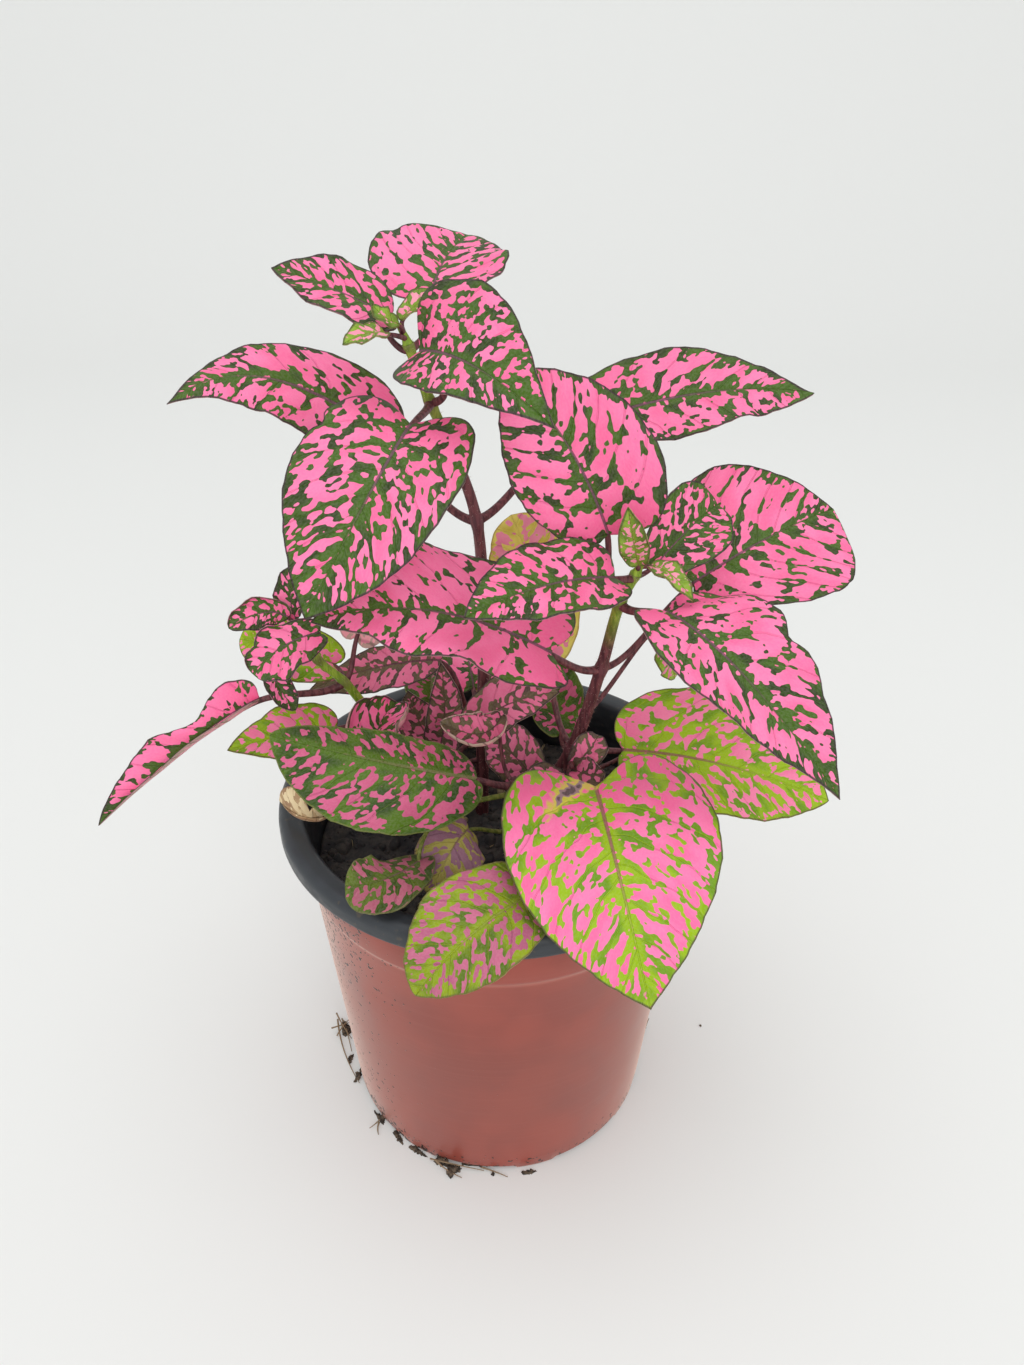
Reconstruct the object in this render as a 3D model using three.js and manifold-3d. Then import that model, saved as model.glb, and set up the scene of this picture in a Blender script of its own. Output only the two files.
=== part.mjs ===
// A potted polka dot plant: a round plastic nursery pot filled with soil, five stems that stand in it,
// and their pink and green leaves.
// Millimetres, +Z up. The origin is the middle of the pot's underside and -Y is the front.
import * as THREE from "three";
import { mergeVertices } from "three/addons/utils/BufferGeometryUtils.js";
import Module from "manifold-3d";

const wasm = await Module();
wasm.setup();
const { Manifold, Mesh } = wasm;

// Pot
const POT_HEIGHT = 90;
const RIM_RADIUS = 50;
const RIM_BAND = 5.5; // height of the rounded rim
const WALL_TOP_RADIUS = 45.9; // outside of the wall just under the rim
const BASE_RADIUS = 38.1;
const WALL = 1.7;
const FLOOR = 2.2;
const COLLAR_HEIGHT = 72; // the wall is a little wider from here up
const COLLAR_STEP = 0.6;
const POT_SIDES = 48;
const NOTCH_COUNT = 8; // drainage notches in the foot
const NOTCH_FIRST = -99; // degrees, as the next
const NOTCH_ANGLE = 30;
const NOTCH_HEIGHT = 1.3;
const NOTCH_INNER_RADIUS = 27;
const NOTCH_OUTER_RADIUS = 42.7;
const DRAIN_RADIUS = 2.6;
const DRAIN_RING = 31;

// Soil and stems
const SOIL_TOP = 73;
const STEM_FOOT = 62; // each stem stands in a plain hole down to here
const GAP = 0.33; // clearance between pieces that touch
const STEM_SIDES = 8;

// Leaves
const BLADE_THICKNESS = 0.8;
const RIB_THICKNESS = 1.2;
const BASE_OFFSET = 0.004; // keeps a short edge of blade at the petiole
const TOP_DROP = 1.2; // the last leaves of a stem leave it this far below its end

// Each stem: the points it runs through, its radius at the foot and at the top.
const STEMS = {
  tall: { foot: 1.9, top: 1.0, points: [[-4, 10, STEM_FOOT], [-4, 10, 76], [-3.5, 9, 100], [-3, 8, 126],
    [-4, 5, 153], [-8, 2, 168], [-12, -1, 179], [-15.5, -2.5, 190]] },
  right: { foot: 2.1, top: 1.1, points: [[8, 5, STEM_FOOT], [8, 5, 76], [12.5, 3, 88], [17, 0, 100],
    [22, -5, 124], [24.5, -10, 142], [27, -12, 149.5]] },
  left: { foot: 1.8, top: 0.9, points: [[-14, 5, STEM_FOOT], [-14.5, 5, 76], [-23, 6, 93], [-29, 6, 105],
    [-34, 4, 115], [-39, 2, 122], [-42, -1, 131]] },
  back: { foot: 1.4, top: 1.0, points: [[-10, 15, STEM_FOOT], [-10, 15, 75], [-12, 14, 88]] },
  front: { foot: 1.6, top: 1.0, points: [[3, -7, STEM_FOOT], [3, -7, 75], [4, -9, 84], [4, -10, 92],
    [4, -10.5, 99]] },
};

// Short cores that carry the small leaves of a shoot tip, each just clear of the stem that bears it.
const CORES = {
  shoot_tip_tall: { stem: "tall", node: 7, to: [-16.8, -3.6, 193.4], radius: 1.0 },
  shoot_tip_right: { stem: "right", node: 6, to: [28.3, -12.6, 153.5], radius: 1.1 },
  shoot_tip_left: { stem: "left", node: 6, to: [-43, -2, 134.5], radius: 0.9 },
  side_shoot: { stem: "right", node: 3, to: [16.5, -8, 100.5], radius: 1.1, sideways: true },
};

// The leaves. A leaf grows from a node, which is a point of its stem, counted from the foot (1.5 lies
// between two points). base, mid and tip are three points of its rib; half is the half width on its
// first and second side; faces is the way that its upper face looks. A pair of values is one for each
// side. fold lifts the sides, in degrees; lobe draws the base back round the petiole; sweep carries the
// side veins forward; a and b shape the outline near the base and near the tip. dents are dips of the
// margin: the side (-1 or 1), the place along the rib, the depth in mm and the width as a share of the
// rib. wave is how far the margin swings up and down. via is a point that the petiole bends towards.
const LEAVES = [
  { name: "top_left", stem: "tall", node: 7, look: "pink",
    base: [-18.5, 0, 194], mid: [-27.5, -3, 199], tip: [-38, -4, 203],
    half: [7.5, 8.5], faces: [-1, -3, 5], fold: [15, 0], lobe: 0.15, a: 0.45, b: [0.95, 1.1],
    via: [-20, -2, 192] },
  { name: "top_back", stem: "tall", node: 7, look: "pink",
    base: [-12, 8, 195.5], mid: [-10, 20, 200], tip: [-6, 33, 203],
    half: [14, 13], faces: [0, -3, 5], fold: 12, lobe: 0.2, sweep: 0.15, via: [-11, 2, 193] },
  { name: "top_right", stem: "tall", node: 6, look: "pink",
    base: [-13, -8, 190], mid: [-3, -20, 190.5], tip: [10, -32, 184],
    half: [13.5, 7.5], faces: [0, -6, 4], fold: 8, lobe: [0.45, 0.9], sweep: [-0.05, 0.3],
    a: [0.36, 0.42], b: [1.1, 1.1], via: [-8, -5, 184] },
  { name: "tall_left", stem: "tall", node: 4, look: "pink",
    base: [-22, 10, 168.5], mid: [-43, 4, 182], tip: [-60, -4, 179.5],
    half: [8.5, 10.5], faces: [-1, -4, 5], fold: [-2, -6], lobe: 0.25, a: 0.45, b: [1.05, 1.5] },
  { name: "tall_front", stem: "tall", node: 6, look: "pink",
    base: [-14.5, -14, 179], mid: [-21, -26, 170.5], tip: [-32.5, -34, 151],
    half: [14, 15.5], faces: [-1, -5, 3], fold: 4, lobe: [0.45, 0.6], a: 0.43, b: 0.95 },
  { name: "tall_right", stem: "tall", node: 4, look: "pink",
    base: [16.5, 16, 169.5], mid: [40.5, 14, 176.5], tip: [61.5, 8, 178.5],
    half: [11, 10], faces: [1, -4, 5], fold: 8, lobe: 0.2, a: 0.5, b: [1.45, 0.7],
    dents: [[1, 0.64, 2, 0.1]] },
  { name: "right_upright", stem: "right", node: 5, look: "pink",
    base: [21.5, -10, 156.5], mid: [13, -9, 174], tip: [1.5, -4, 186],
    half: [12.5, 14], faces: [-1, -5, 4], fold: 8, lobe: 0.12, a: [0.5, 0.4], b: [0.95, 1.2] },
  { name: "right_inner", stem: "right", node: 6, look: "pink",
    base: [22.5, -16, 150.5], mid: [8.5, -28, 154.5], tip: [-5, -36, 152.5],
    half: [8, 9], faces: [-1, -4, 5], fold: 10, lobe: 0.25, a: [0.45, 0.38] },
  { name: "right_small", stem: "right", node: 6, look: "pink",
    base: [31, -8, 149], mid: [37.5, -4, 155], tip: [44, 2, 158],
    half: 8, faces: [1, -5, 4], fold: 20, lobe: 0.2, b: 0.6 },
  { name: "right_outer", stem: "right", node: 4, look: "pink",
    base: [40, -2, 142.5], mid: [54.5, 2, 150.5], tip: [68.5, 6, 155.5],
    half: [17.5, 16.5], faces: [1, -4, 4], fold: 6, lobe: [0.1, 0.1], b: [1.1, 0.5], a: [0.42, 0.6],
    sweep: [0.2, 0.45] },
  { name: "right_drooping", stem: "right", node: 5, look: "pink",
    base: [32, -20, 145.5], mid: [44.5, -34, 140], tip: [62.5, -44, 120],
    half: [16, 11.5], faces: [3, -4, 4], fold: 6, lobe: [0.5, 0.25], a: [0.45, 0.45],
    b: [1.05, 1.15], dents: [[-1, 0.43, 2.4, 0.05], [-1, 0.56, -1, 0.07]] },
  { name: "right_long", stem: "right", node: 4, look: "pink",
    base: [11, -14, 133], mid: [-11.5, -24, 147.5], tip: [-32, -32, 149.5],
    half: [11.5, 15], faces: [-1, -3, 5], fold: 6, lobe: 0.4, a: [0.42, 0.38], b: [0.9, 1.1],
    wave: 1.8 },
  { name: "over_rim", stem: "right", node: 2, look: "lime",
    base: [20.5, -22, 106], mid: [24, -44, 100.5], tip: [30.5, -54, 76],
    half: [20.5, 20], faces: [0, -5, 4], fold: 4, lobe: 0.5, a: 0.42, b: 1.15, via: [17, -14, 96] },
  { name: "right_low", stem: "right", node: 3, look: "lime",
    base: [28.5, 0, 99.5], mid: [51, -2, 97], tip: [74.5, -8, 91.5],
    half: [18, 13], faces: [1, -3, 5], fold: 4, lobe: 0.2, b: [1, 0.8] },
  { name: "right_low_back", stem: "right", node: 3.5, look: "lime",
    base: [36.5, 11, 124.5], mid: [39.5, 15, 115.5], tip: [42, 18.5, 107],
    half: [6, 4], faces: [1, -4, 4], fold: 0, lobe: 0.2, b: 0.8 },
  { name: "inner_upright", stem: "right", node: 3, look: "faded",
    base: [11.5, 10, 118.5], mid: [8.5, 14, 134], tip: [3, 14, 150.5],
    half: [9, 10], faces: [0, -5, 2], fold: 6, lobe: 0.3, b: 0.5 },
  { name: "inner_low", stem: "right", node: 2.7, look: "green",
    base: [15, 14, 94], mid: [14.5, 20, 100], tip: [12, 22, 111.5],
    half: [7, 6.5], faces: [0, -5, 2], fold: 6, lobe: 0.3, b: 0.7 },
  { name: "inner_shade", stem: "right", node: 2, look: "dark",
    base: [8, 0, 92], mid: [3, 1, 98], tip: [-3, 2, 103],
    half: [6.5, 6.5], faces: [0, -4, 5], fold: 10, lobe: 0.2 },
  { name: "left_curled", stem: "left", node: 6, look: "pink",
    base: [-36, -8, 134], mid: [-42.5, -12, 133], tip: [-48.5, -15, 128.5],
    half: [6.5, 5], faces: [-1, -4, 4], fold: 8, lobe: 0.3, b: 0.55 },
  { name: "left_lime", stem: "left", node: 4, look: "lime",
    base: [-36.5, 9, 116.5], mid: [-46.5, 9, 120], tip: [-57, 8, 123.5],
    half: 8, faces: [0, -3, 5], fold: 8, lobe: 0.3, b: 0.6 },
  { name: "left_folded", stem: "left", node: 4, look: "pink",
    base: [-51, -4, 115.5], mid: [-67.5, -8, 105.5], tip: [-88, -14, 88.5],
    half: [7, 7.5], faces: [1, -4, 4], fold: [70, 12], lobe: 0.2, a: [0.4, 0.36], b: [1.1, 0.8],
    dents: [[1, 0.37, 4, 0.13]] },
  { name: "left_low", stem: "left", node: 3, look: "green",
    base: [-36.5, 2, 104], mid: [-46.5, 0, 103.5], tip: [-60, -4, 102],
    half: [6.5, 7], faces: [-1, -3, 5], fold: 10, lobe: 0.2 },
  { name: "cupped", stem: "left", node: 3, look: "pink",
    base: [-25.5, -11.5, 107.5], mid: [-25.5, -5.5, 109.5], tip: [-22, 0.5, 112],
    half: [8.5, 10], faces: [0, -3, 5], fold: 35, lobe: 0.6, b: [1.1, 0.6], a: [0.3, 0.4] },
  { name: "left_back", stem: "left", node: 4, look: "pink",
    base: [-31, 8, 124], mid: [-24, 12, 136], tip: [-16, 14, 146],
    half: 8, faces: [1, 4, -2], fold: -8 },
  { name: "dry", stem: "left", node: 1.3, look: "dry",
    base: [-37.5, -12.5, 90.5], mid: [-42.5, -14.5, 92], tip: [-48.5, -9, 92],
    half: [1, 8], faces: [0, -3, 5], fold: [5, 62], a: 0.3, b: [0.8, 0.45], lobe: 0.1,
    sweep: [0.05, -0.1], dents: [[1, 0.42, 6.5, 0.13]] },
  { name: "front_broad", stem: "front", node: 4, look: "green",
    base: [-4, -16, 103.5], mid: [-22.5, -22, 112], tip: [-46, -18, 116],
    half: [14.5, 8], faces: [-1, -3, 5], fold: [-25, -14], lobe: 0.2, a: [0.62, 0.27],
    b: [0.75, 0.6] },
  { name: "front_rolled", stem: "front", node: 4, look: "dark",
    base: [1, -8, 114], mid: [-3.5, -12, 112], tip: [-11.5, -14, 116.5],
    half: [5, 6], faces: [0, -4, 5], fold: 25, lobe: 0.2, b: 0.6, via: [1, -7, 106] },
  { name: "front_pointed", stem: "front", node: 2, look: "lime",
    base: [9, -38, 92], mid: [-3, -50.5, 94], tip: [-15, -55, 81],
    half: [10, 11], faces: [-1, -4, 5], fold: 10, lobe: 0.2, b: [0.9, 0.7] },
  { name: "front_rim", stem: "front", node: 3.45, look: "green",
    base: [-15.5, -26.5, 90.5], mid: [-21, -37.5, 95], tip: [-29, -41.5, 96.5],
    half: [7, 6], faces: [-1, -3, 5], fold: 0, lobe: 0.3, a: 0.6, b: 0.42, sweep: 0.15,
    via: [-16, -18, 98.5] },
  { name: "front_faded", stem: "front", node: 2, look: "faded",
    base: [-6, -17, 90.5], mid: [-9.5, -23, 89.5], tip: [-14, -29, 82],
    half: 7.5, faces: [-1, -5, 3], fold: -8, lobe: 0.3, b: 0.8 },
  { name: "shade_left", stem: "tall", node: 2, look: "dark",
    base: [-13, 12, 116], mid: [-28.5, 15, 112], tip: [-45, 15, 105.5],
    half: [6, 5], faces: [0, -4, 5], fold: 0, lobe: 0.2 },
  { name: "shade_middle", stem: "tall", node: 2, look: "dark",
    base: [-6, 0, 105.5], mid: [3.5, -2, 113.5], tip: [13.5, -4, 117.5],
    half: [6.5, 5.5], faces: [0, -4, 5], fold: 10, lobe: 0.3 },
  { name: "shade_curled", stem: "tall", node: 1.6, look: "dark",
    base: [-14.5, 5, 92.5], mid: [-12, 5, 105.5], tip: [-12.5, 5, 119.5],
    half: [4.5, 5], faces: [0, -5, 3], fold: 20, lobe: 0.2 },
  { name: "shade_low", stem: "back", node: 2, look: "dark",
    base: [-11, 8, 88.5], mid: [-18, 14, 95.5], tip: [-21.5, 17, 104.5],
    half: [5.5, 5.5], faces: [0, -5, 3], fold: 6, lobe: 0.2 },
  { name: "back_left", stem: "back", node: 2, look: "green",
    base: [-16.5, 23, 93], mid: [-17.5, 37, 97], tip: [-17.5, 53, 88.5],
    half: 7, faces: [-1, 2, 5] },
  { name: "back_tall", stem: "tall", node: 2, look: "pink",
    base: [-6, 21, 103], mid: [-9, 36, 106], tip: [-13, 55, 97],
    half: 12.5, faces: [0, 1, 5] },
  { name: "back_middle", stem: "back", node: 2, look: "lime",
    base: [-2, 23, 93], mid: [6, 34, 96], tip: [14, 48, 93],
    half: 10, faces: [1, 1, 5] },
  { name: "back_right", stem: "right", node: 2, look: "green",
    base: [34, 12, 92.5], mid: [44, 17, 94], tip: [55, 22, 87],
    half: [6, 7], faces: [1, 1, 5] },
  { name: "back_outer", stem: "left", node: 2, look: "pink",
    base: [-25, 13, 87], mid: [-27, 20, 88], tip: [-27, 29, 85],
    half: 6, faces: [-1, 1, 5] },
  { name: "tip_tall_low", stem: "shoot_tip_tall", node: 0, look: "pink",
    base: [-18.5, -10, 193.5], mid: [-21.5, -14, 194], tip: [-25, -16, 193],
    half: 2.6, faces: [0, -3, 5], fold: 20, lobe: 0.1 },
  { name: "tip_tall_back", stem: "shoot_tip_tall", node: 0, look: "pink",
    base: [-16.5, -2.5, 194], mid: [-12.5, 1.5, 196.5], tip: [-7, 4.5, 198],
    half: 2.5, faces: [0, -3, 5], fold: 25, lobe: 0.1 },
  { name: "tip_tall_bud", stem: "shoot_tip_tall", node: 0, look: "pink",
    base: [-16.5, -6, 194], mid: [-19, -7, 195.5], tip: [-21, -6, 197.5],
    half: 1.8, faces: [1, -3, 4], fold: 20, lobe: 0 },
  { name: "tip_right_upright", stem: "shoot_tip_right", node: 0, look: "pink",
    base: [27, -14, 152], mid: [25.5, -16, 158], tip: [24, -17, 165],
    half: 3, faces: [-1, -5, 2], fold: 20, lobe: 0 },
  { name: "tip_right_outer", stem: "shoot_tip_right", node: 0, look: "pink",
    base: [29.5, -12, 151], mid: [33, -16, 151], tip: [37, -20, 147.5],
    half: 2.6, faces: [1, -3, 5], fold: 20, lobe: 0 },
  { name: "tip_left_upper", stem: "shoot_tip_left", node: 0, look: "pink",
    base: [-41.5, -2, 134], mid: [-42.5, 0, 138.5], tip: [-41, 2, 144],
    half: [3.5, 3.5], faces: [-1, -5, 3], fold: 15, lobe: 0.1, b: 0.6 },
  { name: "tip_left_outer", stem: "shoot_tip_left", node: 0, look: "pink",
    base: [-42.5, -4, 135.5], mid: [-47.5, -5, 137], tip: [-54, -8, 135],
    half: [3, 4], faces: [0, -3, 5], fold: [-30, 10], lobe: 0.1, b: 0.6 },
  { name: "tip_left_low", stem: "shoot_tip_left", node: 0, look: "pink",
    base: [-48.5, -3, 124], mid: [-46.5, -4, 118.5], tip: [-43, -6, 114],
    half: 3, faces: [1, -3, 4], fold: 20, lobe: 0.1, b: 0.6 },
  { name: "side_upper", stem: "side_shoot", node: 0, look: "dark",
    base: [17.5, -6, 99.5], mid: [20.5, -6, 104], tip: [22.5, -2, 105],
    half: [4, 4], faces: [0, -4, 4], fold: 25, lobe: 0.2 },
  { name: "side_outer", stem: "side_shoot", node: 0, look: "dark",
    base: [17.5, -7, 99], mid: [20.5, -10, 100], tip: [23.5, -11, 101.5],
    half: [4, 4], faces: [0, -4, 4], fold: 25, lobe: 0.2 },
  { name: "side_inner", stem: "side_shoot", node: 0, look: "dark",
    base: [14.5, -8, 95.5], mid: [10.5, -10, 98.5], tip: [5.5, -11.5, 99.5],
    half: [4, 4], faces: [0, -4, 5], fold: 10, lobe: 0.2 },
];

const COLOURS = { pink: 0xd9809a, green: 0x7e8f5c, lime: 0xb9b552, faded: 0xbf9d78, dark: 0x8c5a62,
  dry: 0xb99a72 };
const STEM_COLOUR = 0x6b4548;

function plainMaterial(colour, roughness) {
  return new THREE.MeshStandardMaterial({ color: colour, roughness, metalness: 0 });
}

// Booleans on closed geometries.
function toSolid(geometry) {
  const plain = new THREE.BufferGeometry();
  plain.setAttribute("position", geometry.getAttribute("position").clone());
  plain.setIndex(geometry.getIndex());
  const merged = mergeVertices(plain, 1e-4);
  return new Manifold(new Mesh({
    numProp: 3,
    vertProperties: Float32Array.from(merged.getAttribute("position").array),
    triVerts: Uint32Array.from(merged.getIndex().array),
  }));
}

function toGeometry(solid) {
  const mesh = solid.getMesh();
  const geometry = new THREE.BufferGeometry();
  geometry.setAttribute("position", new THREE.BufferAttribute(Float32Array.from(mesh.vertProperties), 3));
  geometry.setIndex(new THREE.BufferAttribute(Uint32Array.from(mesh.triVerts), 1));
  geometry.computeVertexNormals();
  return geometry;
}

function geometryFrom(points, triangles) {
  const geometry = new THREE.BufferGeometry().setFromPoints(points);
  geometry.setIndex(triangles.flat());
  return geometry;
}

const vec = (p) => new THREE.Vector3(...p);

// A round rod along a curve, with a radius that changes from end to end and closed flat ends.
function taperedRod(curve, radiusAt, sides, steps) {
  const frames = curve.computeFrenetFrames(steps, false);
  const points = [];
  const triangles = [];
  for (let i = 0; i <= steps; i++) {
    const centre = curve.getPointAt(i / steps);
    for (let k = 0; k < sides; k++) {
      const angle = (2 * Math.PI * k) / sides;
      points.push(centre.clone()
        .addScaledVector(frames.normals[i], radiusAt(i / steps) * Math.cos(angle))
        .addScaledVector(frames.binormals[i], radiusAt(i / steps) * Math.sin(angle)));
    }
  }
  for (let i = 0; i < steps; i++) {
    for (let k = 0; k < sides; k++) {
      const a = i * sides + k;
      const b = i * sides + ((k + 1) % sides);
      triangles.push([a, b, b + sides], [a, b + sides, a + sides]);
    }
  }
  for (let k = 1; k < sides - 1; k++) {
    const top = steps * sides;
    triangles.push([0, k + 1, k], [top, top + k, top + k + 1]);
  }
  return geometryFrom(points, triangles);
}

// Stems
function stemCurve(stem) {
  return new THREE.CatmullRomCurve3(STEMS[stem].points.map(vec), false, "centripetal");
}

function stemRadius(stem, share) {
  return THREE.MathUtils.lerp(STEMS[stem].foot, STEMS[stem].top, share);
}

// The point, direction and radius of a stem at one of its nodes.
function stemNode(stem, node) {
  const share = node / (STEMS[stem].points.length - 1);
  const curve = stemCurve(stem);
  const length = curve.getLength();
  let along = 0;
  let last = curve.getPoint(0);
  for (let i = 1; i <= 200 * share; i++) {
    const next = curve.getPoint(i / 200);
    along += next.distanceTo(last);
    last = next;
  }
  return {
    point: curve.getPoint(share),
    direction: curve.getTangent(share).normalize(),
    radius: stemRadius(stem, along / length),
  };
}

// Leaf blades: u runs along the rib from base to tip, v from one edge (-1) over the rib (0) to the
// other (1). Lines of equal u are the side veins.
const ofSide = (value, v) => (Array.isArray(value) ? value[v < 0 ? 0 : 1] : value);

function ribCurve(leaf) {
  const base = vec(leaf.base);
  const tip = vec(leaf.tip);
  const control = vec(leaf.mid).multiplyScalar(2).sub(base.clone().add(tip).multiplyScalar(0.5));
  return new THREE.QuadraticBezierCurve3(base, control, tip);
}

function bladePoint(leaf, rib, length, u, v) {
  const a = ofSide(leaf.a ?? 0.55, v);
  const b = ofSide(leaf.b ?? 0.95, v);
  const half = ofSide(leaf.half, v);
  const x = u + BASE_OFFSET;
  const widest = a / (a + b);
  const share = (x ** a * (1 - u) ** b) / (widest ** a * (1 - widest) ** b);
  const pull = (Math.sqrt(x) * Math.exp(-9 * u)) / (Math.sqrt(1 / 18) * Math.exp(-0.5));
  const shift = ofSide(leaf.sweep ?? 0.3, v) * Math.sin(Math.PI * u) - ofSide(leaf.lobe ?? 0.25, v) * pull;
  const along = u + (Math.abs(v) ** 1.3 * shift * half) / length;
  const held = THREE.MathUtils.clamp(along, 0, 1);
  const slope = rib.v1.clone().sub(rib.v0).multiplyScalar(2 * (1 - held))
    .addScaledVector(rib.v2.clone().sub(rib.v1), 2 * held);
  const point = rib.getPoint(held).addScaledVector(slope, along - held);
  const forward = slope.normalize();
  const across = forward.clone().cross(vec(leaf.faces).normalize()).normalize();
  const up = across.clone().cross(forward);
  const lift = THREE.MathUtils.degToRad(ofSide(leaf.fold ?? 15, v));
  const spread = share * half;
  const dent = (leaf.dents ?? []).filter(([side]) => side * v > 0)
    .reduce((sum, [, place, depth, width]) => sum + depth * Math.exp(-(((u - place) / width) ** 2)), 0);
  const distance = v * (spread - dent * Math.min(1, spread / 6));
  const wave = (leaf.wave ?? 0.6) * v * v * share
    * Math.sin(5 * Math.PI * u + (v < 0 ? 1.7 : 0));
  point.addScaledVector(across, distance * Math.cos(lift));
  point.addScaledVector(up, Math.abs(distance) * Math.sin(lift) + wave);
  const normal = up.clone().multiplyScalar(Math.cos(lift))
    .addScaledVector(across, -Math.sign(v) * Math.sin(lift));
  return { point, normal, forward };
}

// The blade as one closed solid. Both faces are split into triangles alike.
function bladeGeometry(leaf) {
  const rib = ribCurve(leaf);
  const length = rib.getLength();
  const rows = length > 30 ? 6 : length > 15 ? 5 : 4;
  const columns = length > 30 ? 6 : 4;
  const points = [];
  const triangles = [];
  const put = (u, v) => {
    const { point, normal } = bladePoint(leaf, rib, length, u, v);
    const lower = v === 0 ? RIB_THICKNESS - BLADE_THICKNESS / 2 : BLADE_THICKNESS / 2;
    points.push(point.clone().addScaledVector(normal, BLADE_THICKNESS / 2));
    points.push(point.clone().addScaledVector(normal, -lower));
    return points.length - 2;
  };
  const grid = [];
  for (let i = 0; i < rows; i++) {
    grid.push([]);
    for (let j = 0; j <= columns; j++) grid[i].push(put((i / rows) ** 1.5, (2 * j) / columns - 1));
  }
  const tip = put(1, 0);
  grid.push(new Array(columns + 1).fill(tip));
  const face = (a, b, c) => {
    if (b !== c) triangles.push([a, b, c], [a + 1, c + 1, b + 1]);
  };
  const edge = (a, b) => triangles.push([a, b, b + 1], [a, b + 1, a + 1]);
  for (let i = 0; i < rows; i++) {
    for (let j = 0; j < columns; j++) {
      face(grid[i][j], grid[i][j + 1], grid[i + 1][j + 1]);
      if (i < rows - 1) face(grid[i][j], grid[i + 1][j + 1], grid[i + 1][j]);
    }
    edge(grid[i][0], grid[i + 1][0]);
    edge(grid[i + 1][columns], grid[i][columns]);
  }
  for (let j = 0; j < columns; j++) edge(grid[0][j + 1], grid[0][j]);
  return geometryFrom(points, triangles);
}

// The petiole leaves its node square to the stem and ends inside the base of the blade.
function petioleGeometry(leaf, root) {
  const rib = ribCurve(leaf);
  const length = rib.getLength();
  const { point: base, normal, forward } = bladePoint(leaf, rib, length, 0, 0);
  const thick = THREE.MathUtils.clamp(0.45 + 0.016 * length, 0.6, 1.15);
  const end = base.clone().addScaledVector(forward, 2).addScaledVector(normal, -0.3);
  const reach = base.distanceTo(root.point);
  const start = root.point.clone().addScaledVector(root.out, root.clear);
  const curve = new THREE.CubicBezierCurve3(
    start,
    start.clone().addScaledVector(root.out, 0.3 * reach),
    leaf.via ? vec(leaf.via) : base.clone().addScaledVector(forward, -0.3 * reach),
    end,
  );
  const steps = reach > 12 ? 4 : 2;
  return taperedRod(curve, (share) => thick * (1 - 0.3 * share), length > 15 ? 6 : 5, steps);
}

function leafSolid(leaf, root) {
  return toSolid(bladeGeometry(leaf)).add(toSolid(petioleGeometry(leaf, root)));
}

// The way out of a node towards a point, square to the stem.
function wayOut(node, target) {
  const out = vec(target).sub(node.point);
  return out.addScaledVector(node.direction, -out.dot(node.direction)).normalize();
}

const plant = new THREE.Group();

function place(name, geometry, material) {
  const mesh = new THREE.Mesh(geometry, material);
  mesh.name = name;
  plant.add(mesh);
}

// Pot: a turned wall with a rounded rim, a collar, a flat foot with notches and drain holes.
const wallSlope = (WALL_TOP_RADIUS - COLLAR_STEP - BASE_RADIUS) / (POT_HEIGHT - RIM_BAND);
const wallRadius = (z) => BASE_RADIUS + wallSlope * z;
const bandFoot = POT_HEIGHT - RIM_BAND;
const rimInner = WALL_TOP_RADIUS - WALL;
const potProfile = [
  [0, 0], [BASE_RADIUS - 0.8, 0], [BASE_RADIUS, 0.8], [wallRadius(COLLAR_HEIGHT), COLLAR_HEIGHT],
  [wallRadius(COLLAR_HEIGHT) + COLLAR_STEP, COLLAR_HEIGHT + 0.5], [WALL_TOP_RADIUS, bandFoot - 0.2],
  [RIM_RADIUS - 0.9, bandFoot], [RIM_RADIUS, bandFoot + 1.2], [RIM_RADIUS, POT_HEIGHT - 1.9],
  [RIM_RADIUS - 0.7, POT_HEIGHT - 0.6], [RIM_RADIUS - 2.2, POT_HEIGHT], [rimInner + 0.8, POT_HEIGHT - 0.6],
  [rimInner, POT_HEIGHT - 2.4], [wallRadius(FLOOR) - WALL, FLOOR], [0, FLOOR],
];

function turned(profile) {
  const line = profile.map(([radius, z]) => new THREE.Vector2(radius, z));
  return new THREE.LatheGeometry(line, POT_SIDES).rotateX(Math.PI / 2);
}

let pot = toSolid(turned(potProfile));
for (let i = 0; i < NOTCH_COUNT; i++) {
  const middle = THREE.MathUtils.degToRad(NOTCH_FIRST + (360 / NOTCH_COUNT) * i);
  const spread = THREE.MathUtils.degToRad(NOTCH_ANGLE) / 2;
  const corner = (radius, turn) => new THREE.Vector2(
    radius * Math.cos(middle + turn * spread), radius * Math.sin(middle + turn * spread));
  const outline = new THREE.Shape([
    corner(NOTCH_INNER_RADIUS, -1),
    ...[-1, -0.33, 0.33, 1].map((turn) => corner(NOTCH_OUTER_RADIUS, turn)),
    corner(NOTCH_INNER_RADIUS, 1),
  ]);
  const notch = new THREE.ExtrudeGeometry(outline, { depth: 1 + NOTCH_HEIGHT, bevelEnabled: false });
  pot = pot.subtract(toSolid(notch.translate(0, 0, -1)));
  const drain = new THREE.CylinderGeometry(DRAIN_RADIUS, DRAIN_RADIUS, FLOOR + 2, 12).rotateX(Math.PI / 2);
  drain.translate(DRAIN_RING * Math.cos(middle), DRAIN_RING * Math.sin(middle), FLOOR / 2 + 0.5);
  if (i % 2 === 0) pot = pot.subtract(toSolid(drain));
}
place("pot", toGeometry(pot), plainMaterial(0xa5594f, 0.6));

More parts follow.
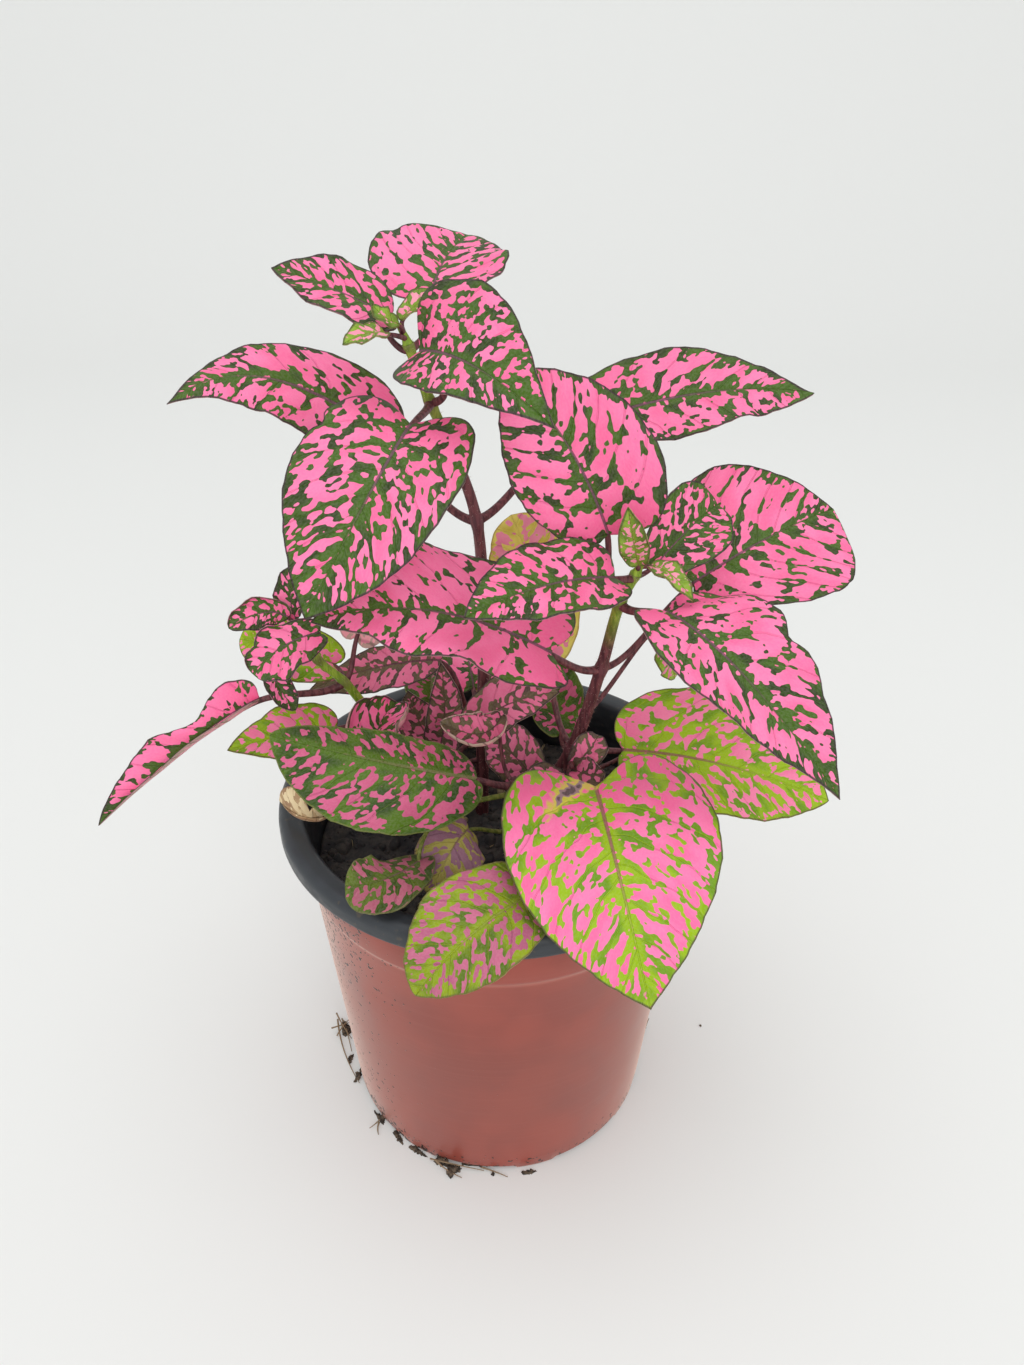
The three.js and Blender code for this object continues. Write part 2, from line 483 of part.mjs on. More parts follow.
// Soil: fills the pot up to an uneven top with a plain hole for each stem.
const soilRadius = (z) => wallRadius(z) - WALL - GAP;
const soilProfile = [
  [0, FLOOR + GAP], [soilRadius(FLOOR), FLOOR + GAP], [soilRadius(SOIL_TOP), SOIL_TOP - 0.6],
  [32, SOIL_TOP + 0.3], [17, SOIL_TOP + 1], [0, SOIL_TOP + 1],
];
const soilBody = turned(soilProfile);
const soilPoints = soilBody.getAttribute("position");
for (let i = 0; i < soilPoints.count; i++) {
  const x = soilPoints.getX(i);
  const y = soilPoints.getY(i);
  const z = soilPoints.getZ(i);
  const uneven = 0.7 * Math.sin(0.23 * x + 1) * Math.cos(0.27 * y) + 0.3 * Math.sin(0.5 * x + 0.4 * y);
  if (z > SOIL_TOP - 0.3) soilPoints.setZ(i, z + uneven);
}
let soil = toSolid(soilBody);
for (const { foot, points } of Object.values(STEMS)) {
  const hole = new THREE.CylinderGeometry(foot + GAP, foot + GAP, 20, 10).rotateX(Math.PI / 2);
  soil = soil.subtract(toSolid(hole.translate(points[0][0], points[0][1], STEM_FOOT - GAP + 10)));
}
place("soil", toGeometry(soil), plainMaterial(0x2a2522, 0.95));

for (const [name, { points }] of Object.entries(STEMS)) {
  const steps = Math.ceil(2.2 * (points.length - 1));
  const rod = taperedRod(stemCurve(name), (share) => stemRadius(name, share), STEM_SIDES, steps);
  place("stem_" + name, toGeometry(toSolid(rod)), plainMaterial(STEM_COLOUR, 0.6));
}

for (const [name, core] of Object.entries(CORES)) {
  const node = stemNode(core.stem, core.node);
  const out = core.sideways ? wayOut(node, core.to) : node.direction;
  const start = node.point.clone().addScaledVector(out, core.sideways ? node.radius + GAP : GAP);
  const line = new THREE.CatmullRomCurve3([start, start.clone().addScaledVector(out, 1), vec(core.to)]);
  let solid = toSolid(taperedRod(line, (share) => core.radius * (1 - 0.4 * share), 6, 4));
  for (const [i, leaf] of LEAVES.filter((each) => each.stem === name).entries()) {
    const inside = line.getPointAt(0.5 + 0.15 * i);
    const way = vec(leaf.base).sub(inside).normalize();
    solid = solid.add(leafSolid(leaf, { point: inside, out: way, clear: 0 }));
  }
  place(name, toGeometry(solid), plainMaterial(COLOURS.pink, 0.55));
}

for (const leaf of LEAVES.filter((each) => each.stem in STEMS)) {
  const node = stemNode(leaf.stem, leaf.node);
  const top = leaf.node === STEMS[leaf.stem].points.length - 1;
  const root = { ...node, out: wayOut(node, leaf.via ?? leaf.base), clear: node.radius + GAP };
  if (top) root.point.addScaledVector(node.direction, -TOP_DROP);
  place("leaf_" + leaf.name, toGeometry(leafSolid(leaf, root)), plainMaterial(COLOURS[leaf.look], 0.55));
}

export default plant;
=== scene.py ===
import math

import bpy
import numpy as np
from mathutils import Matrix, Vector, noise


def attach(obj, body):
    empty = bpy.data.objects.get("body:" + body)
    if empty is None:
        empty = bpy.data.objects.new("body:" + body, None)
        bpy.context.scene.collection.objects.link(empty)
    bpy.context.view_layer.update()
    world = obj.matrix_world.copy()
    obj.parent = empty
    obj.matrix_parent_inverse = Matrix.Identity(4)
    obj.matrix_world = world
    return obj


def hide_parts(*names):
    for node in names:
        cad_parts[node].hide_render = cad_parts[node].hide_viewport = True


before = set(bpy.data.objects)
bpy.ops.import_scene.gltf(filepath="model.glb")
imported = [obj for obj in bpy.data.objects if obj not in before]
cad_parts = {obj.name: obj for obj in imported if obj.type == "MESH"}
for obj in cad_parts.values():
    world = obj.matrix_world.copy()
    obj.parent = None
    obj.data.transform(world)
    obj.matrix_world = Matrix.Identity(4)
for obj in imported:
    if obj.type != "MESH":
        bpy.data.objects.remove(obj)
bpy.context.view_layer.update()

# Camera
# The photograph looks down on the plant from close by with a short lens, almost level from side to side.
# The camera's place is in metres and its turns are in degrees.
CAMERA_PLACE = (0.0033, -0.1902, 0.2349)
CAMERA_PITCH = 31.7  # below the horizon
CAMERA_ROLL = 0.18
NEAREST_SEEN = 0.01
SENSOR_WIDTH = 36
FOCAL_LENGTH = 27.09
camera_data = bpy.data.cameras.new("camera")
camera_data.sensor_width = SENSOR_WIDTH
camera_data.lens = FOCAL_LENGTH
camera_data.clip_start = NEAREST_SEEN
camera = bpy.data.objects.new("camera", camera_data)
camera.matrix_world = (
    Matrix.Translation(CAMERA_PLACE)
    @ Matrix.Rotation(math.radians(90 - CAMERA_PITCH), 4, "X")
    @ Matrix.Rotation(math.radians(CAMERA_ROLL), 4, "Z")
)
bpy.context.scene.collection.objects.link(camera)
bpy.context.scene.camera = camera
bpy.context.scene.view_settings.view_transform = "Standard"


# Floor and light
# A pale sheet lies under the plant and curves up behind it. A bright even room lights it, with a broad
# soft lamp overhead and another from the front, whose places and widths are in metres.
def paint(red, green, blue):
    """A display colour, 0 to 255, as the linear colour that a shader takes."""
    linear = [c / 12.92 if c <= 0.04045 else ((c + 0.055) / 1.055) ** 2.4
              for c in (red / 255, green / 255, blue / 255)]
    return (*linear, 1)


def shader_socket(material, key):
    """A socket of a material's shader by its name in small letters, with underscores for the spaces."""
    shader = material.node_tree.nodes["Principled BSDF"]
    return next(socket for socket in shader.inputs if socket.name.lower().replace(" ", "_") == key)


def new_material(name, **sockets):
    """A material with one Principled shader, whose uniform values are set on its own sockets."""
    material = bpy.data.materials.new(name)
    material.use_nodes = True
    for key, value in sockets.items():
        shader_socket(material, key).default_value = value
    return material


def new_piece(name, points, faces, materials):
    """A smooth mesh object at the origin from points in millimetres."""
    mesh = bpy.data.meshes.new(name)
    mesh.from_pydata((np.asarray(points) / 1000).tolist(), [], [list(map(int, f)) for f in faces])
    mesh.validate()
    for material in materials:
        mesh.materials.append(material)
    mesh.shade_smooth()
    piece = bpy.data.objects.new(name, mesh)
    bpy.context.scene.collection.objects.link(piece)
    return piece


FLOOR_HALF = 1500
SWEEP_START = 700
SWEEP_RADIUS = 500
SWEEP_STEPS = 16
SWEEP_TOP = 1500
floor_line = [(-FLOOR_HALF, 0), (SWEEP_START, 0)]
for step in range(1, SWEEP_STEPS + 1):
    turn = math.radians(90 * step / SWEEP_STEPS)
    floor_line.append((SWEEP_START + SWEEP_RADIUS * math.sin(turn), SWEEP_RADIUS * (1 - math.cos(turn))))
floor_line.append((SWEEP_START + SWEEP_RADIUS, SWEEP_TOP))
floor_points = [(x, y, z) for y, z in floor_line for x in (-FLOOR_HALF, FLOOR_HALF)]
floor_faces = [(2 * i, 2 * i + 1, 2 * i + 3, 2 * i + 2) for i in range(len(floor_line) - 1)]
floor_paint = new_material("pale_sheet", base_color=paint(222, 223, 222), roughness=0.8,
                           emission_color=paint(255, 253, 250), emission_strength=0.09)
floor = new_piece("floor", floor_points, floor_faces, [floor_paint])

ROOM_BRIGHTNESS = 0.84
world = bpy.data.worlds.new("room")
world.use_nodes = True
world.node_tree.nodes["Background"].inputs["Color"].default_value = paint(250, 251, 250)
world.node_tree.nodes["Background"].inputs["Strength"].default_value = ROOM_BRIGHTNESS
bpy.context.scene.world = world

LAMPS = {
    "overhead_lamp": dict(place=(-0.05, -0.1, 1.1), width=0.9, energy=2.3),
    "front_lamp": dict(place=(0.15, -1.3, 0.8), width=1.2, energy=6.6),
}
LAMP_TARGET = Vector((0, 0, 0.1))
for name, light in LAMPS.items():
    lamp_data = bpy.data.lights.new(name, "AREA")
    lamp_data.shape = "DISK"
    lamp_data.size = light["width"]
    lamp_data.energy = light["energy"]
    lamp = bpy.data.objects.new(name, lamp_data)
    lamp.location = light["place"]
    lamp.rotation_euler = (LAMP_TARGET - lamp.location).to_track_quat("-Z", "Y").to_euler()
    bpy.context.scene.collection.objects.link(lamp)

# Pot
# A thin moulded nursery pot, terracotta outside and black inside, with a rolled black rim. A shallow
# collar runs below the rim, and the foot has eight drainage notches and four holes.
POT_HEIGHT = 90
POT_SIDES = 240
RIM_RADIUS = 50
RIM_BAND = 5.5
RIM_FOOT_ROUNDING = 1.3
RIM_OUTER_ROUNDING = 2.2
RIM_INNER_ROUNDING = 2.0
WALL_TOP_RADIUS = 45.9
BASE_RADIUS = 38.1
BASE_ROUNDING = 0.8
WALL = 1.7
BOTTOM = 2.2
COLLAR_HEIGHT = 72
COLLAR_STEP = 0.6
COLLAR_SLOPE = 0.6
NOTCH_COUNT = 8
NOTCH_FIRST = -99  # degrees
NOTCH_HALF_ANGLE = 15
NOTCH_HEIGHT = 1.3
NOTCH_INNER_RADIUS = 27
DRAIN_COUNT = 4
DRAIN_RADIUS = 2.6
DRAIN_RING = 31
DRAIN_SIDES = 24
SHARP_EDGE = 40  # degrees

wall_slope = (WALL_TOP_RADIUS - COLLAR_STEP - BASE_RADIUS) / (POT_HEIGHT - RIM_BAND)
band_foot = POT_HEIGHT - RIM_BAND
rim_inner = WALL_TOP_RADIUS - WALL


def wall_radius(z):
    return BASE_RADIUS + wall_slope * z


def arc(radius, rounding, height, start, end, steps):
    """A round corner of a turned profile about a point at a radius and height, angles in degrees."""
    turns = np.radians(np.linspace(start, end, steps))
    return [(radius + rounding * math.cos(t), height + rounding * math.sin(t)) for t in turns]


# The profile runs from the middle of the underside out, up the wall, over the rim and back down inside.
# The plain radii and heights only divide the flats and the wall into bands.
outside_line = [
    *((radius, 0) for radius in (12, 24, NOTCH_INNER_RADIUS - 0.2, NOTCH_INNER_RADIUS, 32)),
    *arc(BASE_RADIUS - BASE_ROUNDING, BASE_ROUNDING, BASE_ROUNDING, -90, 0, 4),
    *((wall_radius(z), z) for z in (4, 20, 40, 56, COLLAR_HEIGHT - COLLAR_SLOPE)),
    (wall_radius(COLLAR_HEIGHT) + 0.12, COLLAR_HEIGHT),
    (wall_radius(COLLAR_HEIGHT) + COLLAR_STEP - 0.1, COLLAR_HEIGHT + COLLAR_SLOPE),
    *((wall_radius(z) + COLLAR_STEP, z) for z in (COLLAR_HEIGHT + 1.4, 78)),
    (WALL_TOP_RADIUS, band_foot - 0.3),
]
rim_line = [
    (WALL_TOP_RADIUS + 0.5, band_foot),
    *arc(RIM_RADIUS - RIM_FOOT_ROUNDING, RIM_FOOT_ROUNDING, band_foot + RIM_FOOT_ROUNDING, -90, 0, 5),
    *arc(RIM_RADIUS - RIM_OUTER_ROUNDING, RIM_OUTER_ROUNDING, POT_HEIGHT - RIM_OUTER_ROUNDING, 0, 90, 7),
    *arc(rim_inner + RIM_INNER_ROUNDING, RIM_INNER_ROUNDING, POT_HEIGHT - RIM_OUTER_ROUNDING, 90, 175, 6),
    *((wall_radius(z) - WALL, z) for z in (76, 60, 30, BOTTOM)),
    (24, BOTTOM), (8, BOTTOM),
]
pot_line = [(0, 0), *outside_line, *rim_line, (0, BOTTOM)]


def turned(line, sides):
    """The points and faces of a profile turned about Z, from one point of the axis to another."""
    angles = 2 * np.pi * np.arange(sides) / sides
    points = [(0, 0, line[0][1])]
    for radius, z in line[1:-1]:
        points += [(radius * math.cos(a), radius * math.sin(a), z) for a in angles]
    points.append((0, 0, line[-1][1]))
    rings = len(line) - 2
    faces = []
    for k in range(sides):
        after = (k + 1) % sides
        faces.append((0, 1 + after, 1 + k))
        for ring in range(rings - 1):
            a, b = 1 + ring * sides + k, 1 + ring * sides + after
            faces.append((a, b, b + sides, a + sides))
        last = 1 + (rings - 1) * sides
        faces.append((last + k, last + after, len(points) - 1))
    return np.array(points, float), faces


pot_points, pot_faces = turned(pot_line, POT_SIDES)
notch_turns = np.degrees(np.arctan2(pot_points[:, 1], pot_points[:, 0])) - NOTCH_FIRST
from_notch = np.abs((notch_turns + 180 / NOTCH_COUNT) % (360 / NOTCH_COUNT) - 180 / NOTCH_COUNT)
pot_radii = np.hypot(pot_points[:, 0], pot_points[:, 1])
raised = (from_notch < NOTCH_HALF_ANGLE) & (pot_radii > NOTCH_INNER_RADIUS - 0.1)
raised &= pot_points[:, 2] < NOTCH_HEIGHT
pot_points[raised, 2] = NOTCH_HEIGHT


class Value:
    """What a node of a material or a geometry tree gives out. Arithmetic on it adds nodes to the tree."""

    def __init__(self, tree, socket):
        self.tree = tree
        self.socket = socket

    def __add__(self, other):
        return maths("ADD", self, other)

    def __sub__(self, other):
        return maths("SUBTRACT", self, other)

    def __rsub__(self, other):
        return maths("SUBTRACT", other, self)

    def __mul__(self, other):
        return maths("MULTIPLY", self, other)

    def __truediv__(self, other):
        return maths("DIVIDE", self, other)

    def __pow__(self, other):
        return maths("POWER", self, other)

    def __abs__(self):
        return maths("ABSOLUTE", self)


def fill(tree, socket, value):
    """Gives a socket a plain value, or a link if the value comes from a node."""
    if isinstance(value, Value):
        tree.links.new(value.socket, socket)
    else:
        socket.default_value = value


def add_node(tree, kind, sockets=None, **settings):
    """Adds a node to a tree and gives back all that it gives out, as values."""
    made = tree.nodes.new(kind)
    for key, value in settings.items():
        setattr(made, key, value)
    for key, value in (sockets or {}).items():
        fill(tree, made.inputs[key], value)
    return [Value(tree, output) for output in made.outputs]


def maths(operation, *values):
    tree = next(value.tree for value in values if isinstance(value, Value))
    return add_node(tree, "ShaderNodeMath", dict(enumerate(values)), operation=operation)[0]


def numbers_of(vector):
    return add_node(vector.tree, "ShaderNodeSeparateXYZ", {0: vector})


def object_place(material):
    """The place on the object, in metres, which is the fourth output of its node."""
    return add_node(material.node_tree, "ShaderNodeTexCoord")[3]


def grain(place, scale, detail=3, roughness=0.55, distortion=0.0):
    """Noise between about 0.2 and 0.8. The scale is in cycles for each unit, of all axes or of each."""
    if isinstance(scale, tuple):
        place = add_node(place.tree, "ShaderNodeVectorMath", {0: place, 1: scale}, operation="MULTIPLY")[0]
        scale = 1.0
    return add_node(place.tree, "ShaderNodeTexNoise", {
        "Vector": place, "Scale": scale, "Detail": detail, "Roughness": roughness,
        "Distortion": distortion})[0]


def ramp(value, start, end, low=0.0, high=1.0):
    """low up to start, high from end, and a soft change between them."""
    return add_node(value.tree, "ShaderNodeMapRange", {
        "Value": value, "From Min": start, "From Max": end, "To Min": low, "To Max": high},
        interpolation_type="SMOOTHSTEP")[0]


def mixed(share, first, second):
    """The first colour where share is 0 and the second where it is 1."""
    return add_node(share.tree, "ShaderNodeMix", {0: share, 6: first, 7: second}, data_type="RGBA")[2]


def relief(height, distance, strength=1.0):
    """The surface direction that a height gives, where a height of 1 stands for a distance in metres."""
    return add_node(height.tree, "ShaderNodeBump", {
        "Height": height, "Distance": distance, "Strength": strength})[0]


def dress(material, **sockets):
    """Joins values to sockets of a material's shader."""
    for key, value in sockets.items():
        fill(material.node_tree, shader_socket(material, key), value)


# Terracotta: a little mottled, with faint scuffs, and specks of soil under the rim and near the foot.
# A duller greyish band half way up is a painted reflection of the room, and the light line at the collar
# step is a painted highlight. Heights on the pot are in metres.
shell_paint = new_material("terracotta_plastic", specular_ior_level=0.3, coat_weight=0.25,
                           coat_roughness=0.2, sheen_roughness=0.3, sheen_tint=paint(255, 228, 214))
place = object_place(shell_paint)
rightward, backward, height_up = numbers_of(place)
cloudy = grain(place, 55, 3)
shell_colour = mixed(ramp(cloudy, 0.35, 0.65), paint(138, 56, 44), paint(152, 66, 53))
# A duller greyish band half way up the wall: a painted reflection of the room.
painted_room_reflection = ramp(height_up, 0.004, 0.03) * ramp(height_up, 0.035, 0.075, 1, 0)
shell_colour = mixed(painted_room_reflection * 0.28, shell_colour, paint(118, 72, 64))
moulded = grain(place, (30, 30, 900), 2)
shell_colour = mixed(ramp(moulded, 0.52, 0.7, 0, 0.05), shell_colour, paint(176, 102, 88))
# A thin light line at the collar step: a painted highlight.
off_collar_highlight = abs(height_up - 0.0716)
shell_colour = mixed(ramp(off_collar_highlight, 0.0001, 0.0007, 0.3, 0), shell_colour, paint(192, 118, 102))
front_left = ramp(rightward, -0.036, -0.006, 1, 0) * ramp(backward, 0.004, 0.026, 1, 0)
near_rim = ramp(height_up, 0.04, 0.083, 0.17, 0.25) * front_left
near_foot = ramp(height_up, 0.001, 0.01, 0.22, 0)
patchy = ramp(grain(place, 42, 2), 0.42, 0.62, -0.02, 0.02)
specks = ramp(grain(place, 1000, 1, 0.5) + (near_rim + near_foot + patchy), 0.83, 0.86)
dress(shell_paint, base_color=mixed(specks, shell_colour, paint(48, 34, 30)),
      roughness=ramp(cloudy, 0.3, 0.7, 0.36, 0.5), sheen_weight=specks * -0.75 + 0.75,
      normal=relief(moulded * 0.15 + specks, 0.00008))

# Black lining: charcoal with fine scuffs, dusty near the soil, and lighter on top of the rim with a painted
# reflection.
lining_paint = new_material("black_plastic", specular_ior_level=0.42)
place = object_place(lining_paint)
scuffed = grain(place, (260, 260, 700), 4)
lining_colour = mixed(ramp(scuffed, 0.4, 0.7), paint(34, 37, 41), paint(48, 51, 56))
# The top of the rim is lighter: a painted reflection on the black plastic.
painted_rim_reflection = ramp(numbers_of(place)[2], 0.083, 0.088, 0, 0.5)
lining_colour = mixed(painted_rim_reflection, lining_colour, paint(58, 63, 69))
dust = ramp(grain(place, 420, 3), 0.62, 0.72, 0, 0.6)
dress(lining_paint, base_color=mixed(dust, lining_colour, paint(84, 74, 62)),
      roughness=ramp(scuffed, 0.3, 0.7, 0.30, 0.52), normal=relief(scuffed, 0.00006))

# Base, wall and collar outside are terracotta; the rim and the inside are black.
nursery_pot = new_piece("nursery_pot", pot_points, pot_faces, [shell_paint, lining_paint])
for index, polygon in enumerate(nursery_pot.data.polygons):
    band = index % (len(pot_line) - 1)
    polygon.material_index = 0 if band < len(outside_line) else 1
drain_points, drain_faces = [], []
for drain in range(DRAIN_COUNT):
    turn = math.radians(NOTCH_FIRST + 360 / DRAIN_COUNT * drain)
    first = len(drain_points)
    for z in (-1, BOTTOM + 1):
        for around in 2 * np.pi * np.arange(DRAIN_SIDES) / DRAIN_SIDES:
            drain_points.append((DRAIN_RING * math.cos(turn) + DRAIN_RADIUS * math.cos(around),
                                 DRAIN_RING * math.sin(turn) + DRAIN_RADIUS * math.sin(around), z))
    drain_faces.append([first + k for k in reversed(range(DRAIN_SIDES))])
    drain_faces.append([first + DRAIN_SIDES + k for k in range(DRAIN_SIDES)])
    for k in range(DRAIN_SIDES):
        a, b = first + k, first + (k + 1) % DRAIN_SIDES
        drain_faces.append((a, b, b + DRAIN_SIDES, a + DRAIN_SIDES))
drains = new_piece("drain_cutters", drain_points, drain_faces, [shell_paint])
cut = nursery_pot.modifiers.new("drain_holes", "BOOLEAN")
cut.object = drains
cut.operation = "DIFFERENCE"


def settle(piece):
    """Turns a piece with modifiers into the plain mesh that it shows, and removes the modifiers."""
    bpy.context.view_layer.update()
    graph = bpy.context.evaluated_depsgraph_get()
    mesh = bpy.data.meshes.new_from_object(piece.evaluated_get(graph), preserve_all_data_layers=True,
                                           depsgraph=graph)
    piece.modifiers.clear()
    piece.data = mesh


settle(nursery_pot)
bpy.data.objects.remove(drains)
nursery_pot.data.shade_smooth()
nursery_pot.data.set_sharp_from_angle(angle=math.radians(SHARP_EDGE))
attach(nursery_pot, "root")
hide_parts("pot")

# Soil
# Black peat potting soil, lumpy, with crumbs, a few pale bits of grit and short brown fibres on top.
# It fills the pot from wall to wall.
SOIL_TOP = 73
SOIL_GAP = 0.33
SOIL_SIDES = 150
SOIL_RINGS = 64
soil_edge = wall_radius(SOIL_TOP) - WALL - SOIL_GAP


def soil_height(x, y):
    """The lumpy top of the soil at a place, in millimetres."""
    broad = 0.7 * math.sin(0.23 * x + 1) * math.cos(0.27 * y) + 0.3 * math.sin(0.5 * x + 0.4 * y)
    lumps = 0.9 * noise.fractal((x / 7, y / 7, 2.3), 0.9, 2.1, 4)
    crumbs = 0.45 * abs(noise.fractal((x / 2.2, y / 2.2, 7.1), 0.9, 2.1, 3))
    radius = math.hypot(x, y)
    return SOIL_TOP + 0.5 - 0.5 * (radius / soil_edge) ** 4 + broad + lumps + crumbs - 0.3


soil_line = [
    (0, BOTTOM + SOIL_GAP), (wall_radius(BOTTOM) - WALL - SOIL_GAP, BOTTOM + SOIL_GAP),
    (wall_radius(40) - WALL - SOIL_GAP, 40),
    *((soil_edge * (1 - ring / SOIL_RINGS), SOIL_TOP) for ring in range(SOIL_RINGS)), (0, SOIL_TOP),
]
soil_points, soil_faces = turned(soil_line, SOIL_SIDES)
for point in soil_points:
    if point[2] > SOIL_TOP - 1:
        point[2] = soil_height(point[0], point[1])

soil_paint = new_material("peat_soil", roughness=0.9, specular_ior_level=0.25)
place = object_place(soil_paint)
lumpy = grain(place, 300, 5, 0.65)
damp = ramp(grain(place, 60, 2), 0.4, 0.65, 0, 0.4)
threads = ramp(grain(place, (900, 240, 500), 2), 0.68, 0.74, 0, 0.8)
soil_colour = mixed(ramp(lumpy, 0.35, 0.7), paint(54, 54, 57), paint(88, 83, 78))
soil_colour = mixed(damp, soil_colour, paint(50, 50, 53))
soil_colour = mixed(threads, soil_colour, paint(96, 72, 50))
dress(soil_paint, base_color=soil_colour, normal=relief(lumpy, 0.0006))

grit_paint = new_material("pale_grit", roughness=0.85)
place = object_place(grit_paint)
grit_colour = mixed(ramp(grain(place, 700, 3), 0.35, 0.65), paint(120, 104, 78), paint(176, 160, 128))
dress(grit_paint, base_color=grit_colour, normal=relief(grain(place, 1500, 3), 0.0002))

potting_soil = new_piece("potting_soil", soil_points, soil_faces, [soil_paint, grit_paint])


def new_tree(name, **inputs):
    """A geometry tree with a mesh going in, its named inputs, and what they give out."""
    tree = bpy.data.node_groups.new(name, "GeometryNodeTree")
    for label, kind in {"surface": "Geometry", **inputs}.items():
        tree.interface.new_socket(label, in_out="INPUT", socket_type="NodeSocket" + kind)
    tree.interface.new_socket("strewn", in_out="OUTPUT", socket_type="NodeSocketGeometry")
    return tree, {value.socket.name: value for value in add_node(tree, "NodeGroupInput")}


def end_tree(tree, instances, material):
    """The last nodes of a tree: the instances become one mesh of one material."""
    whole = add_node(tree, "GeometryNodeRealizeInstances", {"Geometry": instances})[0]
    finished = add_node(tree, "GeometryNodeSetMaterial", {"Geometry": whole, "Material": material})[0]
    add_node(tree, "NodeGroupOutput", {0: finished})


# Crumbs, grit and fibres are strewn over the top faces of the soil, half sunk, each turned its own way.
crumb_tree, given = new_tree(
    "strewn_crumbs", density="Float", smallest="Float", largest="Float", flatness="Float", floor="Float",
    reach="Float", seed="Int", detail="Int", finish="Material")
STEEPEST = 0.3  # least upward part of a face's direction that crumbs lie on
FULL_TURN = (6.28, 6.28, 6.28)
upward = numbers_of(add_node(crumb_tree, "GeometryNodeInputNormal")[0])[2]
spot_x, spot_y, spot_z = numbers_of(add_node(crumb_tree, "GeometryNodeInputPosition")[0])
level = add_node(crumb_tree, "ShaderNodeCombineXYZ", {"X": spot_x, "Y": spot_y})[0]
outward = add_node(crumb_tree, "ShaderNodeVectorMath", {0: level}, operation="LENGTH")[1]
chosen = maths("GREATER_THAN", upward, STEEPEST) * maths("GREATER_THAN", spot_z, given["floor"])
chosen = chosen * maths("LESS_THAN", outward, given["reach"])
strewn = add_node(crumb_tree, "GeometryNodeDistributePointsOnFaces", {
    "Mesh": given["surface"], "Selection": chosen, "Density": given["density"], "Seed": given["seed"]})[0]
crumb = add_node(crumb_tree, "GeometryNodeMeshIcoSphere", {
    "Radius": 1.0, "Subdivisions": given["detail"]})[0]
rough = add_node(crumb_tree, "ShaderNodeTexNoise", {"Scale": 1.3, "Detail": 1.0})[0]
ball_place = add_node(crumb_tree, "GeometryNodeInputPosition")[0]
knobbly = add_node(crumb_tree, "ShaderNodeVectorMath", {
    0: ball_place, "Scale": rough}, operation="SCALE")[0]
shaped = add_node(crumb_tree, "GeometryNodeSetPosition", {"Geometry": crumb, "Offset": knobbly})[0]
flat = add_node(crumb_tree, "ShaderNodeCombineXYZ", {"X": 1.0, "Y": 0.8, "Z": given["flatness"]})[0]
pressed = add_node(crumb_tree, "GeometryNodeTransform", {"Geometry": shaped, "Scale": flat})[0]
turn_any = add_node(crumb_tree, "FunctionNodeRandomValue", {
    0: (0, 0, 0), 1: FULL_TURN, "Seed": given["seed"]}, data_type="FLOAT_VECTOR")[0]
size_any = add_node(crumb_tree, "FunctionNodeRandomValue", {
    2: given["smallest"], 3: given["largest"], "Seed": given["seed"]}, data_type="FLOAT")[1]
crumbs = add_node(crumb_tree, "GeometryNodeInstanceOnPoints", {
    "Points": strewn, "Instance": pressed, "Rotation": turn_any, "Scale": size_any})[0]
end_tree(crumb_tree, crumbs, given["finish"])


def strew(name, carrier, tree, **values):
    """A plain mesh of what a tree strews over a copy of the carrier, with the tree's inputs by name."""
    made = bpy.data.objects.new(name, carrier.data.copy())
    bpy.context.scene.collection.objects.link(made)
    modifier = made.modifiers.new(tree.name, "NODES")
    modifier.node_group = tree
    for item in tree.interface.items_tree:
        if item.name in values:
            modifier[item.identifier] = values[item.name]
    settle(made)
    return made


# Densities are for each square metre; the other lengths are metres.
CRUMBS = {
    "fine_crumbs": dict(density=260000.0, smallest=0.00018, largest=0.00065, flatness=0.8, reach=0.0412,
                        seed=4, detail=1, finish=soil_paint),
    "clods": dict(density=21000.0, smallest=0.0006, largest=0.0018, flatness=0.7, reach=0.0396,
                  seed=9, detail=2, finish=soil_paint),
    "grit": dict(density=4600.0, smallest=0.0003, largest=0.0012, flatness=0.6, reach=0.0405,
                 seed=23, detail=2, finish=grit_paint),
    "fibres": dict(density=9000.0, smallest=0.0006, largest=0.0016, flatness=0.07, reach=0.0405,
                   seed=31, detail=1, finish=grit_paint),
}
crumb_layers = [strew(name, potting_soil, crumb_tree, floor=0.06, **values)
                for name, values in CRUMBS.items()]
for piece in crumb_layers:
    piece.data.shade_smooth()
for piece in (potting_soil, *crumb_layers):
    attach(piece, "root")
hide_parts("soil")

# Stems
# Five soft stems, purple below and green towards their young tops, faintly four-sided and furred with
# short hairs. They swell at each node, where the leaf stalks leave them.
STEM_FOOT = 62
STEM_SIDES = 20
STEM_STEPS = 22  # rings between two points of the stem
STEM_SLIMNESS = 0.86  # share of the solid stem's radius
KNOT_SWELLING = 0.28
KNOT_LENGTH = 1.5
YOUTH_FADE = 0.12  # share of the stem over which purple turns green
MEASURE_STEPS = 200
